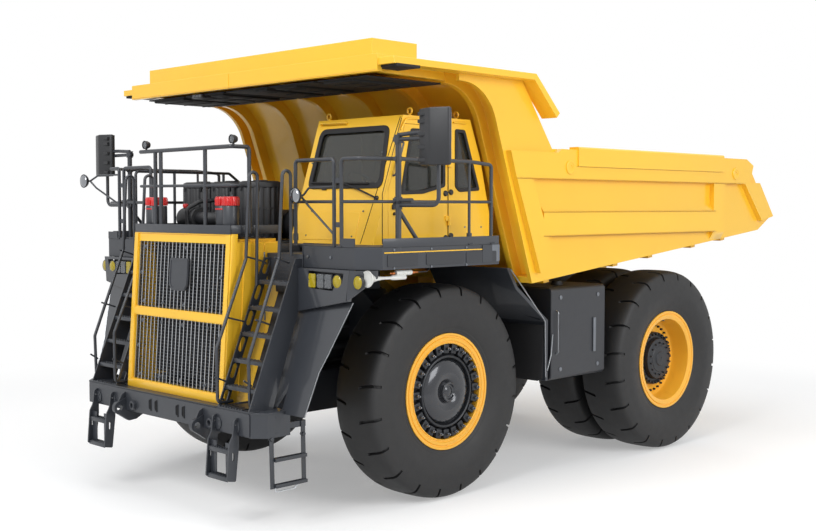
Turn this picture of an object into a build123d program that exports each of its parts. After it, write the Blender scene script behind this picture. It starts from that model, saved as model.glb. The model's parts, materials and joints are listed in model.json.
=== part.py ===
from build123d import *
import math
import os

# Rigid-frame mining dump truck of the 91 t payload class, in millimetres.
# The model is drawn from the truck's own datum: the ground under the middle of
# the front axle. X runs to the truck's left, Y towards the rear, Z up. On
# export every piece is moved along Y so that the origin lies on the ground
# under the middle of the whole truck.

# ---------------------------------------------------------------- driving sizes
WHEELBASE = 4580
SEAT = 0.3                     # rest gap between a piece and what carries it
RUNNING = 0.3                  # radial clearance of a pin or shaft

TYRE_RADIUS = 1345
TYRE_WIDTH = 740
TYRE_SIDES = 40                # flats round the tread
RIM_RADIUS = 732               # over the flanges
RIM_WIDTH = 604                # over the flanges
RIM_FLANGE = 25
BEAD_RADIUS = 622
RIM_BORE = 600
FRONT_WHEEL_X = 1952
REAR_OUTER_X = 2205
DUAL_SPACING = 840

KINGPIN_X = 1330
KNUCKLE_RADIUS = 170
STRUT_RADIUS = 165
STRUT_ROD_RADIUS = 110
SPINDLE_RADIUS = 150
STEERING_ARM = 480             # kingpin to tie rod pin
TIE_ROD_Z = 930
TIE_ROD_RADIUS = 45
TIE_PIN_RADIUS = 30

RAIL_OUTER_X = 650
RAIL_WIDTH = 300
RAIL_FRONT_Y = -2400
RAIL_BOTTOM_Z = 1000
RAIL_TOP_Z = 1520
RAIL_END_Y = WHEELBASE + 870
PIVOT_Y = WHEELBASE + 820      # dump bed hinge
PIVOT_Z = 2560
PIVOT_PIN_RADIUS = 60

BUMPER_HALF_WIDTH = 1900
BUMPER_FRONT_Y = -2690
BUMPER_BOTTOM_Z = 1060
BUMPER_TOP_Z = 1340
BUMPER_SLOTS = (-340, -160, 260, 440)      # middles of the upright slots in its face
TOW_EYE_X = 850
TOW_EYE_Y = -2800
TOW_EYE_Z = 1105
TOW_EYE_HOLE = 40
TOW_EYE_OUTER = 78
TOW_EYE_WIDTH = 60

HOOD_HALF_WIDTH = 1035
HOOD_TOP_Z = 3425
HOOD_BACK_Y = -1700
HOOD_TOP_Y = -2405             # front edge at the top
HOOD_BOTTOM_Y = -2547          # front edge at the bottom
HOOD_WALL = 60
KICK_PLATE = 12
KICK_HEIGHT = 100

COLLAR_TOP_Z = 2560            # arch that carries the front struts and the deck posts

DECK_HALF_WIDTH = 2830
DECK_FRONT_Y = -1880
DECK_TOP_Z = 3200
DECK_BOTTOM_Z = 2950
DECK_SKIN = 40
DECK_UNDER_Z = 3150            # underside of the deck plate, inside the skirts

CAB_INNER_X = 775
CAB_OUTER_X = 2300
CAB_TOP_Z = 4740
CAB_WALL = 60
DOOR_HINGE_Y = -60
DOOR_FRONT_Y = -1080
HINGE_X = CAB_OUTER_X + 22     # door hinge line
HINGE_Z = (3480, 4200)

FLOOR_FRONT = (1200, 2660)     # lower front corner of the bed, as (y, z)
FLOOR_REAR = (7060, 3270)
TAIL_TIP = (7455, 3478)
TAIL_TOP = (6750, 4310)        # rear end of the side's top band
BED_HALF_WIDTH = 2700
BED_INNER_X = BED_HALF_WIDTH - 140
SIDE_SKIN_X = BED_HALF_WIDTH - 80          # outer face of the side plates, behind the belts and posts
SIDE_TOP_Z = 4410
BAND_LOW_Z = 4015              # lower edge of the side's top band
BELT_TOP_Z = 3584
BELT_LOW_Z = 3270
FLOOR_THICKNESS = 90
CANOPY_HALF_WIDTH = 2810
CANOPY_FRONT_Y = -1480
CANOPY_Z = 5180
FLANGE_Z = 5250                # underside of the canopy's side flange
WALL_RIB = 150
WALL_SKIN = 40
CANOPY_BEND = 640

HOIST_X = 822
STRUT_Y = WHEELBASE + 330      # rear struts
REAR_STRUT_LOW = 1720
A_FRAME_EYE = (WHEELBASE - 1940, 1130)     # front eye of the rear axle's A-frame, as (y, z)
EYE_HALF = 115
HOIST_LOW = (WHEELBASE - 1380, 1200)       # pin on the frame, as (y, z)
HOIST_TOP = (WHEELBASE - 1780, 2500)       # pin on the bed

FRONT_REACH = TOW_EYE_OUTER - TOW_EYE_Y
REAR_REACH = TAIL_TIP[0]
FRONT_AXLE_Y = (FRONT_REACH - REAR_REACH) / 2
FRONT_PLANE = Plane(origin=(0, 0, 0), x_dir=(1, 0, 0), z_dir=(0, -1, 0))


# ---------------------------------------------------------------- form helpers
def outline(points):
    """Face through corners (u, v) or (u, v, radius), with round corners where a radius is given."""
    edges = []
    starts = []
    ends = []
    count = len(points)
    for i, point in enumerate(points):
        here = Vector(point[0], point[1])
        if len(point) < 3:
            starts.append(here)
            ends.append(here)
            continue
        before = (Vector(*points[i - 1][:2]) - here).normalized()
        after = (Vector(*points[(i + 1) % count][:2]) - here).normalized()
        half = math.radians(before.get_angle(after)) / 2
        reach = point[2] / math.tan(half)
        start = here + before * reach
        end = here + after * reach
        middle = here + (before + after).normalized() * (point[2] / math.sin(half) - point[2])
        edges.append(ThreePointArc(start, middle, end))
        starts.append(start)
        ends.append(end)
    for i in range(count):
        a = ends[i]
        b = starts[(i + 1) % count]
        if (b - a).length > 1e-6:
            edges.append(Line(a, b))
    return make_face(edges)


def slab_x(points, low, high):
    """Outline in (y, z) as thick as low to high along X."""
    return Pos(low, 0, 0) * extrude(Plane.YZ * outline(points), amount=high - low, dir=(1, 0, 0))


def slab_y(points, low, high):
    """Outline in (x, z) as thick as low to high along Y."""
    return Pos(0, low, 0) * extrude(FRONT_PLANE * outline(points), amount=high - low, dir=(0, 1, 0))


def slab_z(points, low, high):
    """Outline in (x, y) as thick as low to high along Z."""
    return Pos(0, 0, low) * extrude(outline(points), amount=high - low)


def block(x, y, z):
    """Box between the (low, high) pairs x, y and z."""
    size = Box(x[1] - x[0], y[1] - y[0], z[1] - z[0])
    return Pos(sum(x) / 2, sum(y) / 2, sum(z) / 2) * size


def spin_x(points, y=0, z=0):
    """Profile (x, radius) turned about an axis along X through (y, z)."""
    return Pos(0, y, z) * revolve(outline(points), axis=Axis.X)


def bar(start, end, radius):
    """Round bar from start to end."""
    start = Vector(*start)
    along = Vector(*end) - start
    rod = Cylinder(radius, along.length, align=(Align.CENTER, Align.CENTER, Align.MIN))
    return Plane(origin=start, z_dir=along) * rod


CORNER_BALL = 1.04              # a tube's corner ball, against the tube's own radius


def pipe(points, radius):
    """Round tube outline along straight runs, with a ball in each corner."""
    tube = bar(points[0], points[1], radius)
    for i in range(1, len(points) - 1):
        tube += Pos(*points[i]) * Sphere(radius * CORNER_BALL)
        tube += bar(points[i], points[i + 1], radius)
    return tube


def flipped(shape):
    """The same piece on the truck's right side."""
    return mirror(shape, about=Plane.YZ)


def both(shape):
    """The piece on the left and its mirror image on the right."""
    return group(shape, flipped(shape))


def group(*shapes):
    """Pieces that don't touch, kept as one node."""
    solids = []
    for shape in shapes:
        solids.extend(shape.solids())
    return Compound(solids)


# ---------------------------------------------------------------- wheels
def tyre_ring(x, radius):
    plane = Plane(origin=(x, 0, 0), x_dir=(0, 1, 0), z_dir=(1, 0, 0))
    ring = RegularPolygon(radius, TYRE_SIDES, major_radius=False, rotation=180 / TYRE_SIDES)
    return plane * ring


def tyre(x):
    """One tyre with its middle plane at x, standing on a flat of its tread."""
    half = TYRE_WIDTH / 2
    tread_half = half - 190
    shoulder_half = half - 60
    tread = [(half, 1065), (shoulder_half, TYRE_RADIUS - 22), (tread_half, TYRE_RADIUS)]
    sections = [tyre_ring(-w, r) for w, r in tread] + [tyre_ring(w, r) for w, r in reversed(tread)]
    body = loft([s.face() for s in sections], ruled=True)
    bead_half = RIM_WIDTH / 2 - RIM_FLANGE - SEAT
    dish = loft([tyre_ring(bead_half, RIM_RADIUS + 6).face(), tyre_ring(half + 1, 963).face()], ruled=True)
    bore = extrude(tyre_ring(-half - 1, BEAD_RADIUS + SEAT).face(), amount=TYRE_WIDTH + 2, dir=(1, 0, 0))
    body = body - bore - dish - flipped(dish)
    return Pos(x, 0, TYRE_RADIUS) * body


def rear_tyres():
    """Both tyres of the left dual wheel."""
    place = Pos(0, WHEELBASE, 0)
    return group(place * tyre(REAR_OUTER_X), place * tyre(REAR_OUTER_X - DUAL_SPACING))


def rim_shell(x):
    """Rim barrel with its two flanges, as a profile about the wheel's axis."""
    edge = RIM_WIDTH / 2
    seat = edge - RIM_FLANGE
    return spin_x([(x - edge, RIM_BORE), (x - edge, RIM_RADIUS), (x - seat, RIM_RADIUS),
                   (x - seat, BEAD_RADIUS), (x + seat, BEAD_RADIUS), (x + seat, RIM_RADIUS),
                   (x + edge, RIM_RADIUS), (x + edge, RIM_BORE)], 0, TYRE_RADIUS)


def front_hub():
    """Hub with the clamp ring, the dished cover and its cap, running on the spindle."""
    x = FRONT_WHEEL_X
    bore = SPINDLE_RADIUS + RUNNING
    fit = RIM_BORE - SEAT
    return spin_x([(x - 290, bore), (x - 290, 330), (x - 120, 330), (x + 60, fit), (x + 200, fit),
                   (x + 225, 540), (x + 225, 440), (x + 190, 415), (x + 215, 360), (x + 255, 250),
                   (x + 262, 130), (x + 300, 120), (x + 310, 0), (x + 120, 0), (x + 120, bore)],
                  0, TYRE_RADIUS)


def final_drive():
    """Rear hub: drum through both rims, bolted flange and cover."""
    out = REAR_OUTER_X
    inn = out - DUAL_SPACING
    bore = 220 + RUNNING
    return spin_x([(inn - 320, bore), (inn - 320, 450), (inn - 280, 470), (out - 60, 470),
                   (out - 40, 400), (out + 90, 400), (out + 110, 330), (out + 170, 300),
                   (out + 190, 0), (out - 420, 0), (out - 420, bore)], WHEELBASE, TYRE_RADIUS)


def rear_rims():
    """Both rims of a dual wheel with the drum between them and their discs."""
    out = REAR_OUTER_X
    inn = out - DUAL_SPACING
    edge = RIM_WIDTH / 2
    drum = spin_x([(inn + edge, RIM_BORE), (inn + edge, BEAD_RADIUS), (out - edge, BEAD_RADIUS),
                   (out - edge, RIM_BORE)], WHEELBASE, TYRE_RADIUS)
    outer_disc = spin_x([(out - 30, 400 + SEAT), (out - 30, RIM_BORE), (out + 10, RIM_BORE),
                         (out + 10, 400 + SEAT)], WHEELBASE, TYRE_RADIUS)
    inner_disc = spin_x([(inn - 20, 470 + SEAT), (inn - 20, RIM_BORE), (inn + 20, RIM_BORE),
                         (inn + 20, 470 + SEAT)], WHEELBASE, TYRE_RADIUS)
    shells = Pos(0, WHEELBASE, 0) * rim_shell(out) + Pos(0, WHEELBASE, 0) * rim_shell(inn)
    return shells + drum + outer_disc + inner_disc


# ---------------------------------------------------------------- running gear
def knuckle():
    """Strut rod, kingpin housing, spindle and steering arm of the left front wheel."""
    rod = bar((KINGPIN_X, 0, 1400), (KINGPIN_X, 0, 1740), STRUT_ROD_RADIUS)
    housing = bar((KINGPIN_X, 0, 1060), (KINGPIN_X, 0, 1480), KNUCKLE_RADIUS)
    spindle = bar((KINGPIN_X, 0, TYRE_RADIUS), (FRONT_WHEEL_X + 100, 0, TYRE_RADIUS), SPINDLE_RADIUS)
    arm = slab_z([(KINGPIN_X - 110, 0), (KINGPIN_X + 110, 0), (KINGPIN_X + 80, STEERING_ARM + 80, 79),
                  (KINGPIN_X - 80, STEERING_ARM + 80, 79)], 980, 1065)
    pin = bar((KINGPIN_X, STEERING_ARM, TIE_ROD_Z - 50), (KINGPIN_X, STEERING_ARM, 1000), TIE_PIN_RADIUS)
    return rod + housing + spindle + arm + pin


def tie_rod():
    """Bar that keeps both steering arms parallel, with an eye on each pin."""
    reach = KINGPIN_X - 60
    shaft = bar((-reach, STEERING_ARM, TIE_ROD_Z), (reach, STEERING_ARM, TIE_ROD_Z), TIE_ROD_RADIUS)
    for x in (-KINGPIN_X, KINGPIN_X):
        shaft += bar((x, STEERING_ARM, TIE_ROD_Z - 40), (x, STEERING_ARM, TIE_ROD_Z + 40), 80)
    for x in (-KINGPIN_X, KINGPIN_X):
        low = (x, STEERING_ARM, TIE_ROD_Z - 41)
        shaft -= bar(low, (x, STEERING_ARM, TIE_ROD_Z + 41), TIE_PIN_RADIUS + RUNNING)
    return shaft


def strut_barrels():
    """Outer cylinders of the front suspension struts."""
    barrel = bar((KINGPIN_X, 0, 1560), (KINGPIN_X, 0, 2520), STRUT_RADIUS)
    bore = bar((KINGPIN_X, 0, 1550), (KINGPIN_X, 0, 1760), STRUT_ROD_RADIUS + RUNNING)
    return both(barrel - bore)


def rear_axle():
    """Axle housing with its bowl, spindles, strut feet and the A-frame ahead of it."""
    inn = REAR_OUTER_X - DUAL_SPACING
    bowl = spin_x([(0, 0), (0, 560), (260, 520), (450, 300), (inn - 560, 300),
                   (inn - 500, 420), (inn - 335, 420), (inn - 335, 0)], WHEELBASE, TYRE_RADIUS)
    spindle = bar((inn - 340, WHEELBASE, TYRE_RADIUS), (REAR_OUTER_X - 440, WHEELBASE, TYRE_RADIUS), 220)
    foot = block((720, HOIST_X + 100), (WHEELBASE, STRUT_Y + 120), (TYRE_RADIUS, REAR_STRUT_LOW))
    y, z = A_FRAME_EYE
    arm = bar((0, y, z), (430, WHEELBASE - 200, TYRE_RADIUS - 60), 75)
    side = bowl + spindle + foot + arm
    nose = bar((0, WHEELBASE - 850, TYRE_RADIUS), (0, WHEELBASE, TYRE_RADIUS), 230)
    eye = bar((-EYE_HALF + SEAT, y, z), (EYE_HALF - SEAT, y, z), 90)
    return side + flipped(side) + nose + eye


def rear_suspension():
    """Struts between the axle housing and the rails."""
    strut = bar((HOIST_X, STRUT_Y, REAR_STRUT_LOW + SEAT), (HOIST_X, STRUT_Y, 2260), 115)
    strut += block((RAIL_OUTER_X, HOIST_X + 60), (STRUT_Y - 80, STRUT_Y + 80), (2240, 2400))
    return both(strut)


# ---------------------------------------------------------------- frame
CROSS_TUBES = [(-2250, 1200, 110), (1750, 1720, 130), (A_FRAME_EYE[0], 1640, 130),
               (WHEELBASE - 880, 2100, 120), (WHEELBASE + 420, 2420, 110)]     # y, z, radius


def rail_top(y):
    """Height of the sloping rear stretch of the rails."""
    return 2312 + (y - 1700) * 390 / 3750


def frame():
    """Two deep rails with their pivot and hoist pins, and the cross tubes between them."""
    inner = RAIL_OUTER_X - RAIL_WIDTH
    side = [(RAIL_FRONT_Y, RAIL_BOTTOM_Z), (WHEELBASE - 2280, RAIL_BOTTOM_Z), (WHEELBASE - 1280, 1750),
            (WHEELBASE - 680, 1900), (RAIL_END_Y, 2330), (RAIL_END_Y + 40, 2500, 60),
            (RAIL_END_Y, rail_top(RAIL_END_Y), 60), (1700, rail_top(1700)), (900, RAIL_TOP_Z),
            (RAIL_FRONT_Y, RAIL_TOP_Z)]
    rail = slab_x(side, inner, RAIL_OUTER_X)
    rail += bar((inner - 70, PIVOT_Y, PIVOT_Z), (RAIL_OUTER_X + 70, PIVOT_Y, PIVOT_Z), PIVOT_PIN_RADIUS)
    y, z = HOIST_LOW
    rail += slab_x([(y - 330, 1500), (y - 110, z - 110, 60), (y + 110, z - 110, 60), (y + 110, 1650),
                    (y + 90, 1700)], RAIL_OUTER_X - 60, RAIL_OUTER_X + 40)
    rail += bar((RAIL_OUTER_X, y, z), (HOIST_X + 90, y, z), 50)
    reach = inner - SEAT
    tubes = [bar((-reach, y, z), (reach, y, z), radius) for y, z, radius in CROSS_TUBES]
    y, z = A_FRAME_EYE
    hanger = block((EYE_HALF, EYE_HALF + 40), (y - 80, y + 80), (z - 90, CROSS_TUBES[2][1]))
    tubes[2] += hanger + flipped(hanger)
    return group(rail, flipped(rail), *tubes)


def front_collar():
    """Arch over the engine that carries both front struts."""
    arch = slab_y([(-1180, 1700), (-1180, 2350), (-900, COLLAR_TOP_Z), (900, COLLAR_TOP_Z), (1180, 2350), (1180, 1700),
                   (900, 1250), (RAIL_OUTER_X, 1080), (RAIL_OUTER_X, 2300), (-RAIL_OUTER_X, 2300),
                   (-RAIL_OUTER_X, 1080), (-900, 1250)], -210, 210)
    fit = bar((KINGPIN_X, 0, 1500), (KINGPIN_X, 0, 2600), STRUT_RADIUS)
    saddle = block((1100, KINGPIN_X), (-230, 230), (1780, 2300))
    return arch + (saddle - fit) + flipped(saddle - fit) - fit - flipped(fit)


def front_bumper():
    w = BUMPER_HALF_WIDTH
    y = BUMPER_FRONT_Y
    half = [(0, y), (w - 135, y), (w, y + 130), (w, y + 450), (1150, y + 450), (1150, RAIL_FRONT_Y),
            (0, RAIL_FRONT_Y)]
    side = slab_z(half, BUMPER_BOTTOM_Z, BUMPER_TOP_Z)
    bumper = side + flipped(side)
    for x in BUMPER_SLOTS:
        bumper -= slab_y([(x - 20, 1140, 19), (x + 20, 1140, 19), (x + 20, 1262, 19), (x - 20, 1262, 19)], y - 1, y + 25)
    return bumper


def tow_eyes():
    back = BUMPER_FRONT_Y
    x = TOW_EYE_X - TOW_EYE_WIDTH / 2
    under = BUMPER_BOTTOM_Z - SEAT
    lug = slab_x([(TOW_EYE_Y, TOW_EYE_Z + TOW_EYE_OUTER), (back - SEAT, TOW_EYE_Z + 130), (back - SEAT, under),
                  (back + 110, under), (back + 105, 1005, 30), (back + 240, 1030, 12), (back + 250, 1000, 12),
                  (back + 130, 935, 40), (back + 20, 925, 40), (TOW_EYE_Y - 60, TOW_EYE_Z - 50)],
                 x, x + TOW_EYE_WIDTH)
    lug += bar((x, TOW_EYE_Y, TOW_EYE_Z), (x + TOW_EYE_WIDTH, TOW_EYE_Y, TOW_EYE_Z), TOW_EYE_OUTER)
    lug -= bar((x - 1, TOW_EYE_Y, TOW_EYE_Z), (x + TOW_EYE_WIDTH + 1, TOW_EYE_Y, TOW_EYE_Z), TOW_EYE_HOLE)
    return both(lug)


LADDER_INNER_X = 1120          # middles of the ladder's side plates
LADDER_OUTER_X = 1590
LADDER_PLATE = 20
LADDER_DEPTH = 130
LADDER_LEAN = 0.401
LADDER_FRONT_Y = BUMPER_FRONT_Y + 10
FIRST_TREAD_Z = 1660
TREAD_RISE = 280
TREADS = 6
HAND_TUBE = 20                 # radius
HOOP_TOP_Z = 4060


def boarding_steps():
    """Steps that hang below the bumper ahead of each ladder, and the folding side ladder on the left."""
    top = BUMPER_TOP_Z - 60
    stringer = [(BUMPER_FRONT_Y, top), (BUMPER_FRONT_Y - 20, 560), (BUMPER_FRONT_Y - 120, 560),
                (BUMPER_FRONT_Y - 100, 940), (BUMPER_FRONT_Y - 45, 1045), (BUMPER_FRONT_Y - 30, top)]
    low_x = LADDER_INNER_X - LADDER_PLATE / 2
    steps = slab_x(stringer, low_x, low_x + LADDER_PLATE) + slab_x(stringer, low_x + 410, low_x + 410 + LADDER_PLATE)
    for z in (590, 880):
        steps += block((low_x + LADDER_PLATE, low_x + 410), (BUMPER_FRONT_Y - 110, BUMPER_FRONT_Y - 25), (z, z + 30))
    return group(steps, flipped(steps), side_ladder())


def side_ladder():
    """Folding ladder that hangs from the bumper's left end."""
    low = 475
    hang = BUMPER_BOTTOM_Z - SEAT
    x = BUMPER_HALF_WIDTH - 28
    front = BUMPER_FRONT_Y + 190
    back = front + 460
    ladder = slab_x([(front - 28, hang), (front + 28, hang), (front + 43, low), (front - 13, low)], x, x + 16)
    ladder += slab_x([(back - 28, 1200), (back + 28, 1200), (back + 43, low), (back - 13, low)], x, x + 16)
    bracket_y = BUMPER_FRONT_Y + 450 + SEAT
    ladder += block((x - 70, x), (bracket_y, back + 28), (1130, 1200))
    for z, shift in ((500, 14), (800, 6)):
        ladder += block((x - 27, x + 43), (front + 30 + shift, back + 20 + shift), (z - 20, z + 20))
    return ladder


def ladder_front(z):
    """Front edge of the ladder at height z."""
    return LADDER_FRONT_Y + (z - BUMPER_TOP_Z - SEAT) * LADDER_LEAN


def slot(y, z, half_length, half_width):
    """Cutter for a slot with round ends that lies along the ladder, right through both side plates."""
    lean = math.atan(LADDER_LEAN)
    cutter = slab_x([(-half_width, -half_length, half_width - 1), (half_width, -half_length, half_width - 1),
                     (half_width, half_length, half_width - 1), (-half_width, half_length, half_width - 1)],
                    LADDER_INNER_X - LADDER_PLATE, LADDER_OUTER_X + LADDER_PLATE)
    return Pos(0, y, z) * Rot(-math.degrees(lean), 0, 0) * cutter


def hand_hoop(x, ahead, foot_z):
    """Hand tube ahead of the ladder, over a hoop at the top and down behind to the ladder."""
    low = BUMPER_TOP_Z + 60
    foot_y = ladder_front(low) + 60
    y_low = ladder_front(1980) - ahead
    y_high = ladder_front(3040) - ahead
    return pipe([(x, foot_y, low), (x, y_low, low), (x, y_low, 1980), (x, y_high, 3040), (x, y_high + 50, HOOP_TOP_Z),
                 (x, y_high + 175, HOOP_TOP_Z), (x, y_high + 155, foot_z)], HAND_TUBE)


def boarding_ladders():
    """Slanting ladders from the bumper up to the deck, with slotted side plates and hooped hand tubes."""
    foot = BUMPER_TOP_Z + SEAT
    face = DECK_FRONT_Y - SEAT
    meet = foot + (face - LADDER_FRONT_Y - LADDER_DEPTH) / LADDER_LEAN
    stringer = [(LADDER_FRONT_Y, foot), (LADDER_FRONT_Y + LADDER_DEPTH, foot), (face, meet), (face, DECK_TOP_Z),
                (ladder_front(DECK_TOP_Z), DECK_TOP_Z)]
    half = LADDER_PLATE / 2
    inner = slab_x(stringer, LADDER_INNER_X - half, LADDER_INNER_X + half)
    outer = slab_x(stringer, LADDER_OUTER_X - half, LADDER_OUTER_X + half)
    sides = inner + outer
    for i in range(TREADS - 1):
        z = FIRST_TREAD_Z + (i + 0.5) * TREAD_RISE + 15
        sides -= slot(ladder_front(z) + LADDER_DEPTH / 2, z, 90, 32)
    ladder = sides
    for i in range(TREADS):
        z = FIRST_TREAD_Z + i * TREAD_RISE
        y = ladder_front(z)
        ladder += block((LADDER_INNER_X + half - 1, LADDER_OUTER_X - half + 1), (y + 5, min(y + LADDER_DEPTH - 10, face)),
                        (z, z + 30))
    ladder += hand_hoop(LADDER_INNER_X, 270, 2700)
    ladder += hand_hoop(LADDER_OUTER_X, 155, 2980)
    return both(ladder)


# ---------------------------------------------------------------- hood and engine
HOOD_FOOT_Z = BUMPER_TOP_Z + SEAT
HOOD_LEAN = math.atan((HOOD_TOP_Y - HOOD_BOTTOM_Y) / (HOOD_TOP_Z - HOOD_FOOT_Z))


def hood_front(z, behind=0):
    """Y of the raked front face at height z, or of a plane so far behind it."""
    return HOOD_BOTTOM_Y + (z - HOOD_FOOT_Z) * math.tan(HOOD_LEAN) + behind / math.cos(HOOD_LEAN)


def hood():
    """Open-backed hood with the two framed grille openings."""
    wall = HOOD_WALL
    foot = HOOD_FOOT_Z
    under = HOOD_TOP_Z - wall
    w = HOOD_HALF_WIDTH
    shell = slab_x([(HOOD_BOTTOM_Y, foot), (HOOD_TOP_Y, HOOD_TOP_Z), (HOOD_BACK_Y, HOOD_TOP_Z),
                    (HOOD_BACK_Y, foot)], -w, w)
    shell -= slab_x([(hood_front(foot - 1, wall), foot - 1), (hood_front(under, wall), under),
                     (HOOD_BACK_Y + 1, under), (HOOD_BACK_Y + 1, foot - 1)], -w + wall, w - wall)
    for low, high in ((1450, 2270), (2380, 3310)):
        shell -= block((-w + 95, w - 95), (HOOD_BOTTOM_Y - 10, HOOD_TOP_Y + wall + 40), (low, high))
    return shell + block((-w, w), (HOOD_TOP_Y, HOOD_TOP_Y + KICK_PLATE), (HOOD_TOP_Z - 1, HOOD_TOP_Z + KICK_HEIGHT))


def grille():
    """Upright bars and cross bars behind each hood opening."""
    half = HOOD_HALF_WIDTH - 75
    panels = []
    for low, high in ((1430, 2290), (2360, 3330)):
        panel = block((-half, half), (0, 12), (low, low + 20)) + block((-half, half), (0, 12), (high - 20, high))
        for i in range(24):
            x = -half + (2 * half - 14) * i / 23
            panel += block((x, x + 14), (0, 12), (low, high))
        for i in range(1, 4):
            z = low + (high - low) * i / 4
            panel += block((-half, half), (0, 12), (z - 6, z + 6))
        panels.append(panel)
    place = Pos(0, hood_front(HOOD_FOOT_Z, HOOD_WALL + SEAT), HOOD_FOOT_Z)
    place *= Rot(-math.degrees(HOOD_LEAN), 0, 0) * Pos(0, 0, -HOOD_FOOT_Z)
    return group(*[place * panel for panel in panels])


def radiator():
    core = block((-880, 880), (-2200, -2000), (RAIL_TOP_Z + SEAT, 3250))
    shroud = Pos(0, -1900, 2380) * Rot(90, 0, 0) * Cone(500, 780, 200)
    return core + shroud


def engine():
    """The engine as one plain block, narrow between the rails, wide above them, on four feet."""
    body = slab_y([(-280, 1150), (280, 1150), (280, 1560), (450, 1640), (450, 2230), (300, 2290),
                   (-300, 2290), (-450, 2230), (-450, 1640), (-280, 1560)], -1650, 450)
    for y in (-1300, 100):
        body += block((-600, 600), (y - 80, y + 80), (RAIL_TOP_Z + SEAT, 1700))
    return body


def driveline():
    """Transmission and the shaft to the rear axle."""
    box = slab_x([(700, 1130), (1550, 1200), (1550, 1560), (700, 1640)], -260, 260)
    lug_half = RAIL_OUTER_X - RAIL_WIDTH - SEAT
    box += block((-lug_half, lug_half), (1060, 1240), (1300, 1440))
    shaft = bar((0, 451.3, 1380), (0, WHEELBASE - 851.3, TYRE_RADIUS), 85)
    return box + shaft


# ---------------------------------------------------------------- deck
DECK_EDGE = [(1050, DECK_FRONT_Y), (2600, DECK_FRONT_Y), (DECK_HALF_WIDTH, -1670), (DECK_HALF_WIDTH, 300),
             (2350, 300), (2350, 850)]


def deck():
    """Deck plate with its edge skirts, open underneath."""
    edge = DECK_EDGE + [(-x, y) for x, y in reversed(DECK_EDGE)]
    edge += [(-1050, HOOD_BACK_Y + 10), (1050, HOOD_BACK_Y + 10)]
    plate = slab_z(edge, DECK_BOTTOM_Z, DECK_TOP_Z)
    inside = offset(outline(edge), amount=-DECK_SKIN, kind=Kind.INTERSECTION)
    return plate - Pos(0, 0, DECK_BOTTOM_Z - 1) * extrude(inside, amount=DECK_UNDER_Z - DECK_BOTTOM_Z + 1)


def deck_supports():
    """Lamp beam under the deck's front edge and the raked panel down to the bumper."""
    top = DECK_BOTTOM_Z - SEAT
    foot = BUMPER_TOP_Z + SEAT
    beam = block((1180, 2480), (DECK_FRONT_Y + 10, DECK_FRONT_Y + 110), (2640, top))
    panel = slab_x([(-1830, 2640), (-1770, 2640), (-2240, foot), (-2300, foot)], 1180, 2400)
    panel &= slab_y([(1180, foot - 1), (1660, foot - 1), (2380, 2650), (1180, 2650)], -2400, -1700)
    post = block((720, 860), (-160, 160), (COLLAR_TOP_Z + SEAT, DECK_UNDER_Z - SEAT))
    return group(*[s for side in (beam + panel, post) for s in (side, flipped(side))])


RAIL_TUBE = 21
THIN_TUBE = 18                 # posts and rails that end in another tube
HAND_RAIL_Z = 4190
HAND_RAIL_MID_Z = 3710
HOOD_RAIL_Z = 4355
HOOD_RAIL_MID_Z = 3910
HOOD_RAIL_POSTS = (-590, -467, 490)
MIRROR_POST_Y = -1400
MIRROR_POST_RADIUS = 34
MIRROR_REACH_X = DECK_HALF_WIDTH + 595
GATE_INNER_X = DECK_HALF_WIDTH - 608
GATE_OUTER_X = GATE_INNER_X + 124


def convex_mirror(x, y, z):
    """Small round mirror bowl, its back to the front."""
    return Pos(x, y, z) * Rot(90, 0, 0) * Cone(90, 45, 40)


def handrails():
    """Tube rails round the deck and on the hood, each run one flat panel."""
    low = DECK_TOP_Z + SEAT
    top = HAND_RAIL_Z
    x = DECK_HALF_WIDTH - 30
    near_post = MIRROR_POST_Y + MIRROR_POST_RADIUS + SEAT
    side = pipe([(x, 180, low), (x, 180, top), (x, near_post, top)], RAIL_TUBE)
    side += bar((x, -216, low), (x, -216, top), THIN_TUBE)
    side += bar((x, 180, HAND_RAIL_MID_Z), (x, near_post, HAND_RAIL_MID_Z), THIN_TUBE)
    y = DECK_FRONT_Y + 30
    front = pipe([(1540, y, low), (1540, y, top), (GATE_INNER_X, y, top), (GATE_INNER_X, y, low)], RAIL_TUBE)
    front += bar((1540, y, HAND_RAIL_MID_Z), (GATE_INNER_X, y, HAND_RAIL_MID_Z), THIN_TUBE)
    low_mirror = front + bar((1760, y, HAND_RAIL_MID_Z), (1720, y - 150, 3778), 14)
    low_mirror += convex_mirror(1720, y - 160, 3778)
    start = (GATE_OUTER_X, y)
    end = (x - 30, MIRROR_POST_Y - 60)
    corner = pipe([(*start, low), (*start, top), (*end, top)], RAIL_TUBE)
    corner += bar((*start, HAND_RAIL_MID_Z), (*end, HAND_RAIL_MID_Z), THIN_TUBE)
    far_corner = flipped(corner) + bar((-GATE_OUTER_X, y, 4100), (-3080, y - 110, 4020), 14)
    far_corner += convex_mirror(-3080, y - 120, 4020)
    return group(side, flipped(side), low_mirror, flipped(front), corner, far_corner, hood_rail())


def hood_rail():
    """Rail on the hood's front edge, turned back at its left end."""
    low = HOOD_TOP_Z + SEAT
    y = HOOD_TOP_Y + 40
    turn = (HOOD_HALF_WIDTH - 15, y + 235)
    rail = pipe([(-930, y, HOOD_RAIL_Z), (turn[0], y, HOOD_RAIL_Z), (*turn, HOOD_RAIL_Z), (*turn, low)], RAIL_TUBE)
    rail += pipe([(-930, y, HOOD_RAIL_MID_Z), (turn[0], y, HOOD_RAIL_MID_Z), (*turn, HOOD_RAIL_MID_Z)], THIN_TUBE)
    for x in HOOD_RAIL_POSTS:
        rail += bar((x, y, low), (x, y, HOOD_RAIL_Z), THIN_TUBE + 1)
    return rail


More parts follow.
